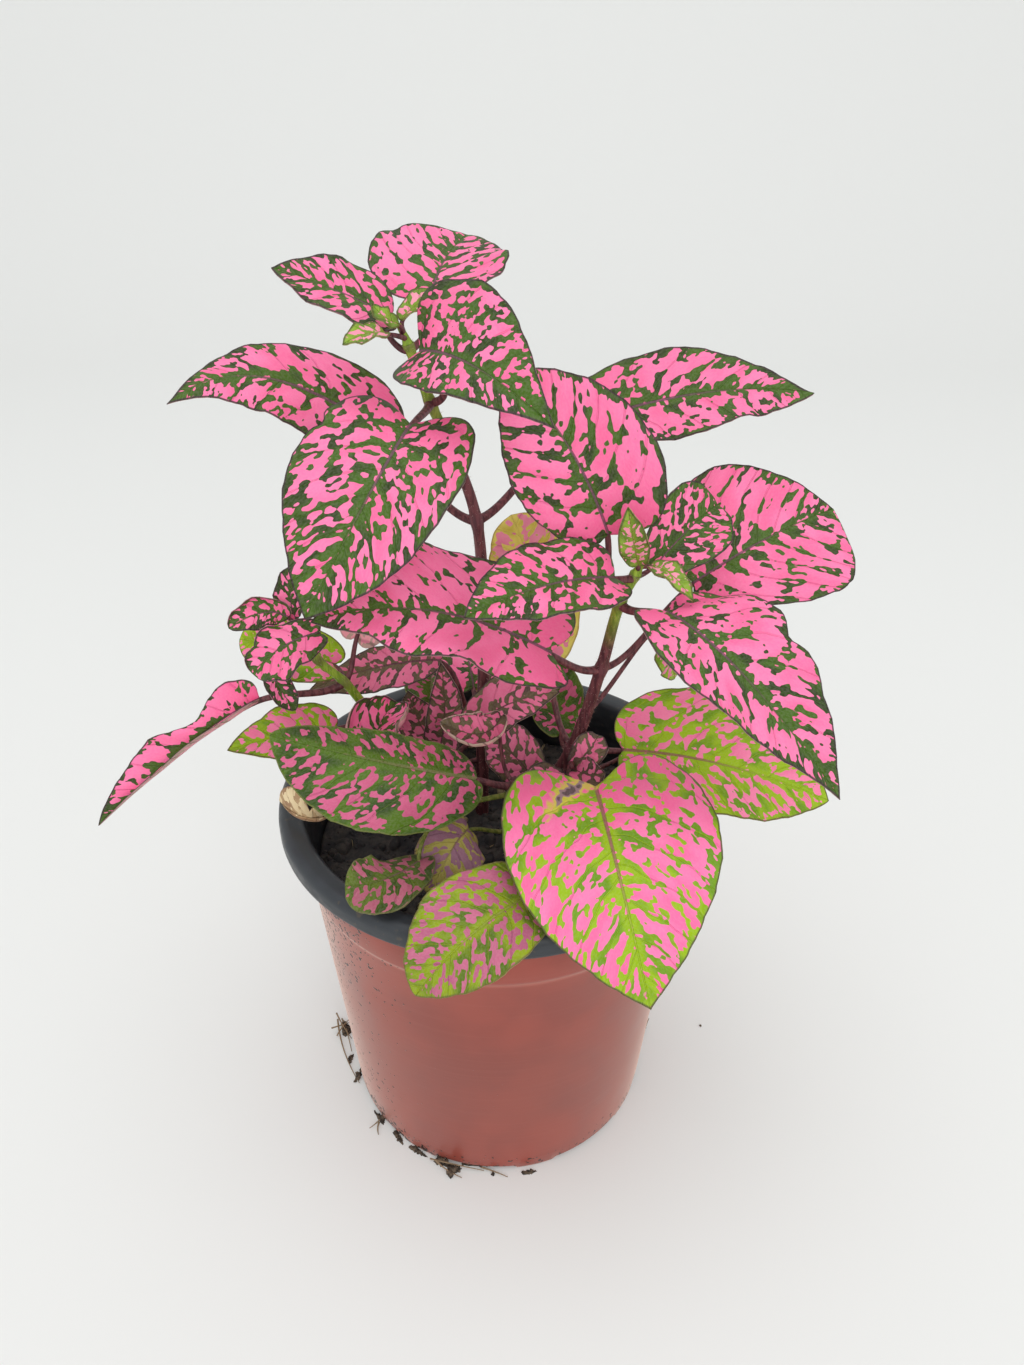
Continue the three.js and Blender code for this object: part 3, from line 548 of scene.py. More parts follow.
# foot and top are the radii at the two ends, and green_from is the share of the stem where green starts.
STEMS = {
    "tall": dict(foot=1.9, top=1.0, green_from=0.8, points=[
        (-4, 10, STEM_FOOT), (-4, 10, 76), (-3.5, 9, 100), (-3, 8, 126), (-4, 5, 153), (-8, 2, 168),
        (-12, -1, 179), (-15.5, -2.5, 190)]),
    "right": dict(foot=2.1, top=1.1, green_from=0.78, points=[
        (8, 5, STEM_FOOT), (8, 5, 76), (12.5, 3, 88), (17, 0, 100), (22, -5, 124), (24.5, -10, 142),
        (27, -12, 149.5)]),
    "left": dict(foot=1.8, top=0.9, green_from=0.5, points=[
        (-14, 5, STEM_FOOT), (-14.5, 5, 76), (-23, 6, 93), (-29, 6, 105), (-34, 4, 115), (-39, 2, 122),
        (-42, -1, 131)]),
    "back": dict(foot=1.4, top=1.0, green_from=1.2, points=[
        (-10, 15, STEM_FOOT), (-10, 15, 75), (-12, 14, 88)]),
    "front": dict(foot=1.6, top=1.0, green_from=1.2, points=[
        (3, -7, STEM_FOOT), (3, -7, 75), (4, -9, 84), (4, -10, 92), (4, -10.5, 99)]),
}


def curve_at(points, place):
    """A point and the direction on the centripetal curve through the points. Place 1.5 lies between two."""
    points = [np.array(p, float) for p in points]
    span = min(int(place), len(points) - 2)
    share = place - span
    before = points[span - 1] if span > 0 else 2 * points[0] - points[1]
    start, end = points[span], points[span + 1]
    after = points[span + 2] if span + 2 < len(points) else 2 * points[-1] - points[-2]
    steps = ((before, start), (start, end), (end, after))
    near, own, far = [max(np.dot(b - a, b - a) ** 0.25, 1e-4) for a, b in steps]
    leave = ((start - before) / near - (end - before) / (near + own) + (end - start) / own) * own
    arrive = ((end - start) / own - (after - start) / (own + far) + (after - end) / far) * own
    cubic = 2 * start - 2 * end + leave + arrive
    square = -3 * start + 3 * end - 2 * leave - arrive
    point = start + leave * share + square * share**2 + cubic * share**3
    direction = leave + 2 * square * share + 3 * cubic * share**2
    return point, direction / np.linalg.norm(direction)


def curve_line(points, steps):
    """Points along the curve, and how far each lies from its start."""
    line = np.array([curve_at(points, t)[0] for t in np.linspace(0, len(points) - 1, steps)])
    return line, np.concatenate([[0], np.cumsum(np.linalg.norm(np.diff(line, axis=0), axis=1))])


def stem_node(stem, node):
    """The point, direction and radius of a stem at one of its nodes, counted from the foot."""
    points, foot, top = (STEMS[stem][key] for key in ("points", "foot", "top"))
    point, direction = curve_at(points, node)
    reach = curve_line(points, MEASURE_STEPS)[1]
    share = np.interp(node / (len(points) - 1), np.linspace(0, 1, MEASURE_STEPS), reach / reach[-1])
    return point, direction, foot + (top - foot) * share


def frames_along(points):
    """Two unit directions across a line at each of its points, turning as little as they can."""
    ahead = np.gradient(points, axis=0)
    ahead /= np.linalg.norm(ahead, axis=1, keepdims=True)
    start = np.cross(ahead[0], (0, 0, 1) if abs(ahead[0][2]) < 0.9 else (0, 1, 0))
    firsts = [start / np.linalg.norm(start)]
    for way in ahead[1:]:
        kept = firsts[-1] - way * np.dot(firsts[-1], way)
        firsts.append(kept / np.linalg.norm(kept))
    firsts = np.array(firsts)
    return firsts, np.cross(ahead, firsts)


def rod(points, radii, sides, squareness=0.0):
    """A closed round rod along a line, as points, faces and the share of the line at each point."""
    firsts, seconds = frames_along(points)
    around = 2 * np.pi * np.arange(sides) / sides
    rings = []
    for centre, radius, first, second in zip(points, radii, firsts, seconds):
        width = radius * (1 + squareness * np.cos(4 * around))
        ring = np.outer(width * np.cos(around), first) + centre
        rings.append(ring + np.outer(width * np.sin(around), second))
    made = np.concatenate([*rings, [points[0]], [points[-1]]])
    faces = []
    for i in range(len(points) - 1):
        for k in range(sides):
            a, b = i * sides + k, i * sides + (k + 1) % sides
            faces.append((a, b, b + sides, a + sides))
    last = (len(points) - 1) * sides
    for k in range(sides):
        after = (k + 1) % sides
        faces.append((len(made) - 2, after, k))
        faces.append((len(made) - 1, last + k, last + after))
    shares = np.repeat(np.linspace(0, 1, len(points)), sides)
    return made, faces, np.concatenate([shares, [0, 1]])


def give_number(piece, name, values):
    attribute = piece.data.attributes.new(name, "FLOAT", "POINT")
    attribute.data.foreach_set("value", np.asarray(values, np.float32))


def read_number(material, name):
    """A number that a piece carries at each of its points."""
    return add_node(material.node_tree, "ShaderNodeAttribute", attribute_name=name)[2]


# Stem skin: purple, turning green with the number youth, streaked lengthwise, darker at the nodes.
stem_paint = new_material("stem_skin", roughness=0.5, specular_ior_level=0.35)
youth = read_number(stem_paint, "youth")
knot = read_number(stem_paint, "knot")
place = object_place(stem_paint)
streaks = grain(place, (1400, 1400, 160), 3)
flecks = grain(place, 1500, 2)
purple = mixed(ramp(streaks, 0.38, 0.62), paint(76, 38, 44), paint(116, 66, 70))
green = mixed(ramp(streaks, 0.38, 0.62), paint(112, 144, 34), paint(150, 178, 58))
stem_colour = mixed(knot * 0.5, mixed(youth, purple, green), paint(96, 58, 66))
stem_colour = mixed(ramp(flecks, 0.66, 0.72, 0, 0.3), stem_colour, paint(150, 120, 100))
dress(stem_paint, base_color=stem_colour, normal=relief(streaks + flecks * 0.4, 0.00012))

hair_paint = new_material("stem_hair", base_color=paint(196, 170, 160), roughness=0.6)

# Short hairs stand on the stems: three-sided needles, one tree with seeded places and lengths.
hair_tree, given = new_tree("stem_hairs", density="Float", length="Float", thickness="Float", seed="Int",
                            finish="Material")
SHORTEST_HAIR = 0.5  # shares of the hairs' length
LONGEST_HAIR = 1.2
rooted = add_node(hair_tree, "GeometryNodeDistributePointsOnFaces", {
    "Mesh": given["surface"], "Density": given["density"], "Seed": given["seed"]})
needle = add_node(hair_tree, "GeometryNodeMeshCone", {
    "Vertices": 3, "Radius Top": 0.0, "Radius Bottom": given["thickness"], "Depth": given["length"]},
    fill_type="TRIANGLE_FAN")[0]
lengths = add_node(hair_tree, "FunctionNodeRandomValue", {
    2: SHORTEST_HAIR, 3: LONGEST_HAIR, "Seed": given["seed"]}, data_type="FLOAT")[1]
standing = add_node(hair_tree, "GeometryNodeInstanceOnPoints", {
    "Points": rooted[0], "Instance": needle, "Rotation": rooted[2], "Scale": lengths})[0]
end_tree(hair_tree, standing, given["finish"])

for name, stem in STEMS.items():
    spans = len(stem["points"]) - 1
    line, reach = curve_line(stem["points"], spans * STEM_STEPS + 1)
    shares = reach / reach[-1]
    knots = np.zeros(len(line))
    for node in range(2, spans + 1):
        at = reach[node * STEM_STEPS]
        knots = np.maximum(knots, np.exp(-(((reach - at) / KNOT_LENGTH) ** 2)))
    radii = STEM_SLIMNESS * (stem["foot"] + (stem["top"] - stem["foot"]) * shares)
    points, faces, along = rod(line, radii * (1 + KNOT_SWELLING * knots), STEM_SIDES, squareness=0.05)
    piece = new_piece(name + "_stem", points, faces, [stem_paint, hair_paint])
    ring_places = np.linspace(0, 1, len(line))
    youth_line = np.clip((shares - stem["green_from"]) / YOUTH_FADE, 0, 1)
    give_number(piece, "youth", np.interp(along, ring_places, youth_line))
    give_number(piece, "knot", np.interp(along, ring_places, knots))
    hairs = strew(name + "_stem_hairs", piece, hair_tree, density=700000.0, length=0.0007,
                  thickness=0.00003, seed=len(name) + 11, finish=hair_paint)
    for made in (piece, hairs):
        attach(made, "root")
    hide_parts("stem_" + name)

# Spilled soil
# A little dry soil lies on the floor close round the foot of the pot: small heaps with loose crumbs, and
# thin roots.
HEAP_SIDES = 12
HEAP_SHOULDER = (0.62, 0.7)  # shares of the heap's width and of its height
ROOT_RADIUS = 0.24
ROOT_TAPER = 0.6
ROOT_STEPS = 14
ROOT_SIDES = 6
# Each heap has its middle, the way that it stretches in degrees, its length, its width and its height.
HEAPS = [
    ((-43.0, 4.2), 112, 5.0, 2.8, 1.2), ((-40.4, -5.6), 80, 3.2, 1.2, 0.5),
    ((-37.6, -11.2), 70, 4.0, 1.0, 0.4), ((-30.4, -23.9), 128, 4.6, 1.1, 0.5),
    ((-25.0, -29.6), 130, 4.4, 1.1, 0.5), ((-20.0, -33.1), 148, 5.4, 1.2, 0.6),
    ((-13.4, -36.3), 158, 4.8, 1.8, 1.2), ((-10.8, -38.3), 10, 3.2, 2.4, 1.4),
    ((-4.6, -36.6), -3, 9.5, 1.2, 0.5), ((-1.0, -39.4), 0, 1.0, 0.8, 0.4), ((7.6, -38.8), 8, 3.8, 1.0, 0.4),
    ((40.4, 4.2), 66, 4.6, 1.0, 0.6), ((56.8, 6.0), 0, 0.6, 0.5, 0.3),
]
# Each root has its start, the point that it bends towards and its end.
ROOTS = [
    ((-45.6, 6.4, 1.6), (-43.4, -4.0, 0.6), (-37.0, -13.6, 0.4)),
    ((-46.0, 7.6, 2.8), (-44.2, 4.2, 2.2), (-41.0, 0.8, 0.4)),
    ((-46.8, 3.0, 2.0), (-44.2, 3.6, 2.4), (-42.0, 6.4, 0.4)),
    ((-45.2, 1.6, 0.5), (-43.4, 4.6, 2.6), (-41.4, 7.4, 1.6)),
    ((-44.6, 7.4, 0.6), (-42.4, 3.0, 1.8), (-40.4, -3.6, 0.5)),
    ((-30.0, -24.2, 0.4), (-31.2, -26.2, 0.8), (-32.6, -27.4, 0.9)),
    ((-30.4, -25.4, 0.5), (-30.9, -27.2, 0.5), (-30.2, -28.8, 0.3)),
    ((-16.6, -35.8, 0.9), (-10.0, -38.2, 2.0), (-3.2, -38.6, 0.4)),
    ((-15.2, -37.0, 2.4), (-13.2, -39.0, 1.4), (-8.6, -40.4, 0.3)),
    ((-4.0, -37.8, 0.6), (0.0, -39.0, 0.5), (2.6, -40.2, 0.3)),
    ((39.8, 1.6, 0.4), (41.2, 4.6, 1.6), (42.4, 7.6, 0.9)),
]
spilled_paint = new_material("spilled_soil", roughness=0.9)
spilled_grain = ramp(grain(object_place(spilled_paint), 900, 2), 0.35, 0.65)
dress(spilled_paint, base_color=mixed(spilled_grain, paint(44, 36, 31), paint(106, 90, 74)))
root_paint = new_material("root_skin", base_color=paint(142, 120, 94), roughness=0.8)
heap_points, heap_faces = [], []
for (x, y), turn, length, width, height in HEAPS:
    first = len(heap_points)
    ahead = np.array((math.cos(math.radians(turn)), math.sin(math.radians(turn))))
    aside = np.array((-ahead[1], ahead[0]))
    for share, z in ((1.0, 0.0), (HEAP_SHOULDER[0], HEAP_SHOULDER[1] * height)):
        for side in range(HEAP_SIDES):
            around = 2 * math.pi * side / HEAP_SIDES
            reach = share * (1 + 0.25 * math.sin(3 * around + x)) / 2
            spot = (x, y) + ahead * length * reach * math.cos(around)
            spot = spot + aside * width * reach * math.sin(around)
            heap_points.append((*spot, z))
    heap_points.append((x, y, height))
    heap_faces.append([first + side for side in reversed(range(HEAP_SIDES))])
    for side in range(HEAP_SIDES):
        a, b = first + side, first + (side + 1) % HEAP_SIDES
        heap_faces.append((a, b, b + HEAP_SIDES, a + HEAP_SIDES))
        heap_faces.append((a + HEAP_SIDES, b + HEAP_SIDES, first + 2 * HEAP_SIDES))
heaps = new_piece("spilled_heaps", heap_points, heap_faces, [spilled_paint])
spilled = [heaps]
for name, density, largest in (("spilled_crumbs", 4200000.0, 0.00045), ("spilled_clods", 620000.0, 0.0010)):
    crumbs = strew(name, heaps, crumb_tree, density=density, smallest=0.00014, largest=largest,
                   flatness=0.6, reach=1.0, seed=6, detail=1, floor=-1.0, finish=spilled_paint)
    crumbs.data.shade_smooth()
    spilled.append(crumbs)


def bent(start, control, end, t):
    """Points of the curve that leaves start towards control and comes to end from it."""
    start, control, end = (np.array(point, float) for point in (start, control, end))
    return (1 - t) ** 2 * start + 2 * t * (1 - t) * control + t**2 * end


root_points, root_faces = [], []
for start, bend, end in ROOTS:
    t = np.linspace(0, 1, ROOT_STEPS)
    line = bent(start, bend, end, t[:, None])
    points, faces, _ = rod(line, ROOT_RADIUS * (1 - ROOT_TAPER * t), ROOT_SIDES)
    root_faces += [[corner + len(root_points) for corner in face] for face in faces]
    root_points += points.tolist()
spilled.append(new_piece("spilled_roots", root_points, root_faces, [root_paint]))
for piece in spilled:
    for vertex in piece.data.vertices:
        vertex.co.z = max(vertex.co.z, 0.0)
    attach(piece, "root")

# Leaves
# Thin soft blades on stalks. Each is pink, splashed over green: the pink runs in ragged blotches along
# the side veins, and green stays along the rib, the veins and the margin. Old low leaves are lime.

# A leaf grows from a node, which is a point of its stem, counted from the foot (1.5 lies between two
# points). base, mid and tip are three points of its rib; half is the half width on its first and second
# side; faces is the way that its upper face looks. A pair of values is one for each side. fold lifts the
# sides, in degrees, and curl rolls their margins further; lobe draws the base back round the stalk;
# sweep carries the side veins forward; a and b shape the outline near the base and near the tip; wave
# and crimp are the long and the short waves of the margin; dents are dips of the margin: the side (-1
# or 1), the place along the rib, the depth and the width as a share of the rib. via is a point that the
# stalk bends towards. cover is the share that is pink, patch the size of its blotches, youth how green
# the stalk is, and skin a finish other than the usual one of the leaf's look.
LEAVES = {
    "top_left": dict(stem="tall", node=7, look="pink", base=(-18.5, 0, 194), mid=(-27.5, -3, 199),
        tip=(-38, -4, 203), half=(7.5, 8.5), faces=(-1, -3, 5), fold=(15, 0), lobe=0.15, a=0.45,
        b=(0.95, 1.1), via=(-20, -2, 192), cover=0.56, patch=0.7),
    "top_back": dict(stem="tall", node=7, look="pink", base=(-12, 8, 195.5), mid=(-10, 20, 200),
        tip=(-6, 33, 203), half=(14, 13), faces=(0, -3, 5), fold=12, lobe=0.2, sweep=0.15,
        via=(-11, 2, 193), cover=0.62, patch=0.95),
    "top_right": dict(stem="tall", node=6, look="pink", base=(-13, -8, 190), mid=(-3, -20, 190.5),
        tip=(10, -32, 184), half=(13.5, 7.5), faces=(0, -6, 4), fold=8, lobe=(0.45, 0.9),
        sweep=(-0.05, 0.3), a=(0.36, 0.42), b=(1.1, 1.1), via=(-8, -5, 184), cover=0.46, patch=0.66),
    "tall_left": dict(stem="tall", node=4, look="pink", base=(-22, 10, 168.5), mid=(-43, 4, 182),
        tip=(-60, -4, 179.5), half=(8.5, 10.5), faces=(-1, -4, 5), fold=(-2, -6), lobe=0.25, a=0.45,
        b=(1.05, 1.5), cover=0.68, patch=1.1),
    "tall_front": dict(stem="tall", node=6, look="pink", base=(-14.5, -14, 179), mid=(-21, -26, 170.5),
        tip=(-32.5, -34, 151), half=(14, 15.5), faces=(-1, -5, 3), fold=4, lobe=(0.45, 0.6), a=0.43,
        b=0.95, cover=0.5, patch=0.86, dents=[(1, 0.25, 1.6, 0.03)]),
    "tall_right": dict(stem="tall", node=4, look="pink", base=(16.5, 16, 169.5), mid=(40.5, 14, 176.5),
        tip=(61.5, 8, 178.5), half=(11, 10), faces=(1, -4, 5), fold=8, lobe=0.2, a=0.5, b=(1.45, 0.7),
        dents=[(1, 0.64, 2, 0.1)], cover=0.6, patch=1.2),
    "right_upright": dict(stem="right", node=5, look="pink", base=(21.5, -10, 156.5), mid=(13, -9, 174),
        tip=(1.5, -4, 186), half=(12.5, 14), faces=(-1, -5, 4), fold=8, lobe=0.12, a=(0.5, 0.4),
        b=(0.95, 1.2), cover=0.69, patch=1.2),
    "right_inner": dict(stem="right", node=6, look="pink", base=(22.5, -16, 150.5),
        mid=(8.5, -28, 154.5), tip=(-5, -36, 152.5), half=(8, 9), faces=(-1, -4, 5), fold=10, lobe=0.25,
        a=(0.45, 0.38), cover=0.54, patch=0.85),
    "right_small": dict(stem="right", node=6, look="pink", base=(31, -8, 149), mid=(37.5, -4, 155),
        tip=(44, 2, 158), half=8, faces=(1, -5, 4), fold=20, lobe=0.2, b=0.6, cover=0.5, patch=0.6),
    "right_outer": dict(stem="right", node=4, look="pink", base=(40, -2, 142.5), mid=(54.5, 2, 150.5),
        tip=(68.5, 6, 155.5), half=(17.5, 16.5), faces=(1, -4, 4), fold=6, lobe=(0.1, 0.1),
        b=(1.1, 0.5), a=(0.42, 0.6), sweep=(0.2, 0.45), cover=0.72, patch=1.25),
    "right_drooping": dict(stem="right", node=5, look="pink", base=(32, -20, 145.5),
        mid=(44.5, -34, 140), tip=(62.5, -44, 120), half=(16, 11.5), faces=(3, -4, 4), fold=6,
        lobe=(0.5, 0.25), a=(0.45, 0.45), b=(1.05, 1.15),
        dents=[(-1, 0.43, 2.4, 0.05), (-1, 0.56, -1, 0.07)], cover=0.65, patch=1.15),
    "right_long": dict(stem="right", node=4, look="pink", base=(11, -14, 133), mid=(-11.5, -24, 147.5),
        tip=(-32, -32, 149.5), half=(11.5, 15), faces=(-1, -3, 5), fold=6, lobe=0.4, a=(0.42, 0.38),
        b=(0.9, 1.1), wave=1.8, cover=0.76, patch=1.4),
    "over_rim": dict(stem="right", node=2, look="lime", base=(20.5, -22, 106), mid=(24, -44, 100.5),
        tip=(30.5, -54, 76), half=(20.5, 20), faces=(0, -5, 4), fold=4, lobe=0.5, a=0.42, b=1.15,
        via=(17, -14, 96), skin="scarred", cover=0.56),
    "right_low": dict(stem="right", node=3, look="lime", base=(28.5, 0, 99.5), mid=(51, -2, 97),
        tip=(74.5, -8, 91.5), half=(18, 13), faces=(1, -3, 5), fold=4, lobe=0.2, b=(1, 0.8), cover=0.43,
        patch=1.1),
    "right_low_back": dict(stem="right", node=3.5, look="lime", base=(36.5, 11, 124.5),
        mid=(39.5, 15, 115.5), tip=(42, 18.5, 107), half=(6, 4), faces=(1, -4, 4), fold=0, lobe=0.2,
        b=0.8),
    "inner_upright": dict(stem="right", node=3, look="faded", base=(11.5, 10, 118.5),
        mid=(8.5, 14, 134), tip=(3, 14, 150.5), half=(9, 10), faces=(0, -5, 2), fold=6, lobe=0.3, b=0.5,
        skin="yellow", cover=0.55, patch=1.2),
    "inner_low": dict(stem="right", node=2.7, look="green", base=(15, 14, 94), mid=(14.5, 20, 100),
        tip=(12, 22, 111.5), half=(7, 6.5), faces=(0, -5, 2), fold=6, lobe=0.3, b=0.7),
    "inner_shade": dict(stem="right", node=2, look="shaded", base=(8, 0, 92), mid=(3, 1, 98),
        tip=(-3, 2, 103), half=(6.5, 6.5), faces=(0, -4, 5), fold=10, lobe=0.2),
    "left_curled": dict(stem="left", node=6, look="pink", base=(-36, -8, 134), mid=(-42.5, -12, 133),
        tip=(-48.5, -15, 128.5), half=(6.5, 5), faces=(-1, -4, 4), fold=8, lobe=0.3, b=0.55, cover=0.72,
        patch=0.8, wave=1.2, curl=(0, 60)),
    "left_lime": dict(stem="left", node=4, look="lime", base=(-36.5, 9, 116.5), mid=(-46.5, 9, 120),
        tip=(-57, 8, 123.5), half=8, faces=(0, -3, 5), fold=8, lobe=0.3, b=0.6),
    "left_folded": dict(stem="left", node=4, look="pink", base=(-51, -4, 115.5), mid=(-67.5, -8, 105.5),
        tip=(-88, -14, 88.5), half=(7, 7.5), faces=(1, -4, 4), fold=(70, 12), lobe=0.2, a=(0.4, 0.36),
        b=(1.1, 0.8), dents=[(1, 0.37, 4, 0.13)], cover=0.84, patch=1.3, wave=0.9, curl=(35, 0)),
    "left_low": dict(stem="left", node=3, look="green", base=(-36.5, 2, 104), mid=(-46.5, 0, 103.5),
        tip=(-60, -4, 102), half=(6.5, 7), faces=(-1, -3, 5), fold=10, lobe=0.2, skin="lime",
        cover=0.62, patch=1.1),
    "cupped": dict(stem="left", node=3, look="pink", base=(-25.5, -11.5, 107.5),
        mid=(-25.5, -5.5, 109.5), tip=(-22, 0.5, 112), half=(9.4, 10.2), faces=(0, -3, 5), fold=35,
        lobe=0.6, b=(1.1, 0.6), a=(0.3, 0.4), curl=(90, 80), cover=0.66, patch=0.8, crimp=0.3),
    "left_back": dict(stem="left", node=4, look="pink", base=(-31, 8, 124), mid=(-24, 12, 136),
        tip=(-16, 14, 146), half=8, faces=(1, 4, -2), fold=-8, cover=0.7),
    "dry": dict(stem="left", node=1.3, look="dry", base=(-37.5, -12.5, 90.5), mid=(-42.5, -14.5, 92),
        tip=(-48.5, -9, 92), half=(1, 8), faces=(0, -3, 5), fold=(5, 62), a=0.3, b=(0.8, 0.45),
        lobe=0.1, sweep=(0.05, -0.1), dents=[(1, 0.42, 6.5, 0.13)], curl=(0, -30), crimp=0.3, wave=0.3,
        cover=0.66, patch=2),
    "front_broad": dict(stem="front", node=4, look="green", base=(-4, -16, 103.5),
        mid=(-22.5, -22, 112), tip=(-46, -18, 116), half=(14.5, 8), faces=(-1, -3, 5), fold=(-25, -14),
        lobe=0.2, a=(0.62, 0.27), b=(0.75, 0.6), cover=0.4, patch=1.15),
    "front_rolled": dict(stem="front", node=4, look="shaded", base=(1, -8, 114), mid=(-3.5, -12, 112),
        tip=(-11.5, -14, 116.5), half=(5, 6), faces=(0, -4, 5), fold=25, lobe=0.2, b=0.6,
        via=(1, -7, 106), curl=(110, 110), crimp=0.3),
    "front_pointed": dict(stem="front", node=2, look="lime", base=(9, -38, 92), mid=(-3, -50.5, 94),
        tip=(-15, -55, 81), half=(10, 11), faces=(-1, -4, 5), fold=10, lobe=0.2, b=(0.9, 0.7),
        skin="muted_lime", cover=0.46, patch=0.7),
    "front_rim": dict(stem="front", node=3.45, look="green", base=(-15.5, -26.5, 90.5),
        mid=(-21, -37.5, 95), tip=(-29, -41.5, 96.5), half=(7, 6), faces=(-1, -3, 5), fold=0, lobe=0.3,
        a=0.6, b=0.42, sweep=0.15, via=(-16, -18, 98.5), skin="muted", cover=0.5, patch=0.8, youth=0.5),
    "front_faded": dict(stem="front", node=2, look="faded", base=(-6, -17, 90.5), mid=(-9.5, -23, 89.5),
        tip=(-14, -29, 82), half=7.5, faces=(-1, -5, 3), fold=-8, lobe=0.3, b=0.8, cover=0.74,
        patch=1.3, youth=0.5),
    "shade_left": dict(stem="tall", node=2, look="shaded", base=(-13, 12, 116), mid=(-28.5, 15, 112),
        tip=(-45, 15, 105.5), half=(6, 5), faces=(0, -4, 5), fold=0, lobe=0.2),
    "shade_middle": dict(stem="tall", node=2, look="shaded", base=(-6, 0, 105.5), mid=(3.5, -2, 113.5),
        tip=(13.5, -4, 117.5), half=(6.5, 5.5), faces=(0, -4, 5), fold=10, lobe=0.3),
    "shade_curled": dict(stem="tall", node=1.6, look="shaded", base=(-14.5, 5, 92.5), mid=(-12, 5, 105.5),
        tip=(-12.5, 5, 119.5), half=(4.5, 5), faces=(0, -5, 3), fold=20, lobe=0.2),
    "shade_low": dict(stem="back", node=2, look="shaded", base=(-11, 8, 88.5), mid=(-18, 14, 95.5),
        tip=(-21.5, 17, 104.5), half=(5.5, 5.5), faces=(0, -5, 3), fold=6, lobe=0.2),
    "back_left": dict(stem="back", node=2, look="green", base=(-16.5, 23, 93), mid=(-17.5, 37, 97),
        tip=(-17.5, 53, 88.5), half=7, faces=(-1, 2, 5)),
    "back_tall": dict(stem="tall", node=2, look="pink", base=(-6, 21, 103), mid=(-9, 36, 106),
        tip=(-13, 55, 97), half=12.5, faces=(0, 1, 5)),
    "back_middle": dict(stem="back", node=2, look="lime", base=(-2, 23, 93), mid=(6, 34, 96),
        tip=(14, 48, 93), half=10, faces=(1, 1, 5)),
    "back_right": dict(stem="right", node=2, look="green", base=(34, 12, 92.5), mid=(44, 17, 94),
        tip=(55, 22, 87), half=(6, 7), faces=(1, 1, 5)),
    "back_outer": dict(stem="left", node=2, look="pink", base=(-25, 13, 87), mid=(-27, 20, 88),
        tip=(-27, 29, 85), half=6, faces=(-1, 1, 5)),
    "tip_tall_low": dict(stem="shoot_tip_tall", node=0, look="pink", base=(-18.5, -10, 193.5),
        mid=(-21.5, -14, 194), tip=(-25, -16, 193), half=2.6, faces=(0, -3, 5), fold=20, lobe=0.1,
        skin="young", cover=0.7, patch=0.4),
    "tip_tall_back": dict(stem="shoot_tip_tall", node=0, look="pink", base=(-16.5, -2.5, 194),
        mid=(-12.5, 1.5, 196.5), tip=(-7, 4.5, 198), half=(2.5, 1.6), faces=(0, -3, 5), fold=25,
        lobe=0.1, skin="young", cover=0.72, patch=0.4),
    "tip_tall_bud": dict(stem="shoot_tip_tall", node=0, look="pink", base=(-16.5, -6, 194),
        mid=(-19, -7, 195.5), tip=(-21, -6, 197.5), half=1.8, faces=(1, -3, 4), fold=20, lobe=0,
        skin="young", cover=0.3, patch=0.34),
    "tip_right_upright": dict(stem="shoot_tip_right", node=0, look="pink", base=(27, -14, 152),
        mid=(25.5, -16, 158), tip=(24, -17, 165), half=3, faces=(-1, -5, 2), fold=20, lobe=0,
        skin="young", cover=0.56, patch=0.36),
    "tip_right_outer": dict(stem="shoot_tip_right", node=0, look="pink", base=(29.5, -12, 151),
        mid=(33, -16, 151), tip=(37, -20, 147.5), half=2.6, faces=(1, -3, 5), fold=20, lobe=0,
        skin="young", cover=0.6, patch=0.36),
    "tip_left_upper": dict(stem="shoot_tip_left", node=0, look="pink", base=(-41.5, -2, 134),
        mid=(-42.5, 0, 138.5), tip=(-41, 2, 144), half=(3.5, 3.5), faces=(-1, -5, 3), fold=15, lobe=0.1,
        b=0.6, cover=0.66, patch=0.6, skin="dusty"),
    "tip_left_outer": dict(stem="shoot_tip_left", node=0, look="pink", base=(-42.5, -4, 135.5),
        mid=(-47.5, -5, 137), tip=(-54, -8, 135), half=(3, 4), faces=(0, -3, 5), fold=(-30, 10),
        lobe=0.1, b=0.6, skin="dusty", cover=0.66, patch=0.5, curl=(0, 130)),
    "tip_left_low": dict(stem="shoot_tip_left", node=0, look="pink", base=(-48.5, -3, 124),
        mid=(-46.5, -4, 118.5), tip=(-43, -6, 114), half=3, faces=(1, -3, 4), fold=20, lobe=0.1, b=0.6,
        cover=0.6, patch=0.5),
    "side_upper": dict(stem="side_shoot", node=0, look="shaded", base=(17.5, -6, 99.5),
        mid=(20.5, -6, 104), tip=(22.5, -2, 105), half=(4, 4), faces=(0, -4, 4), fold=25, lobe=0.2),
    "side_outer": dict(stem="side_shoot", node=0, look="shaded", base=(17.5, -7, 99),
        mid=(20.5, -10, 100), tip=(23.5, -11, 101.5), half=(4, 4), faces=(0, -4, 4), fold=25, lobe=0.2),
    "side_inner": dict(stem="side_shoot", node=0, look="shaded", base=(14.5, -8, 95.5),
        mid=(10.5, -10, 98.5), tip=(5.5, -11.5, 99.5), half=(4, 4), faces=(0, -4, 5), fold=10,
        lobe=0.2),
}

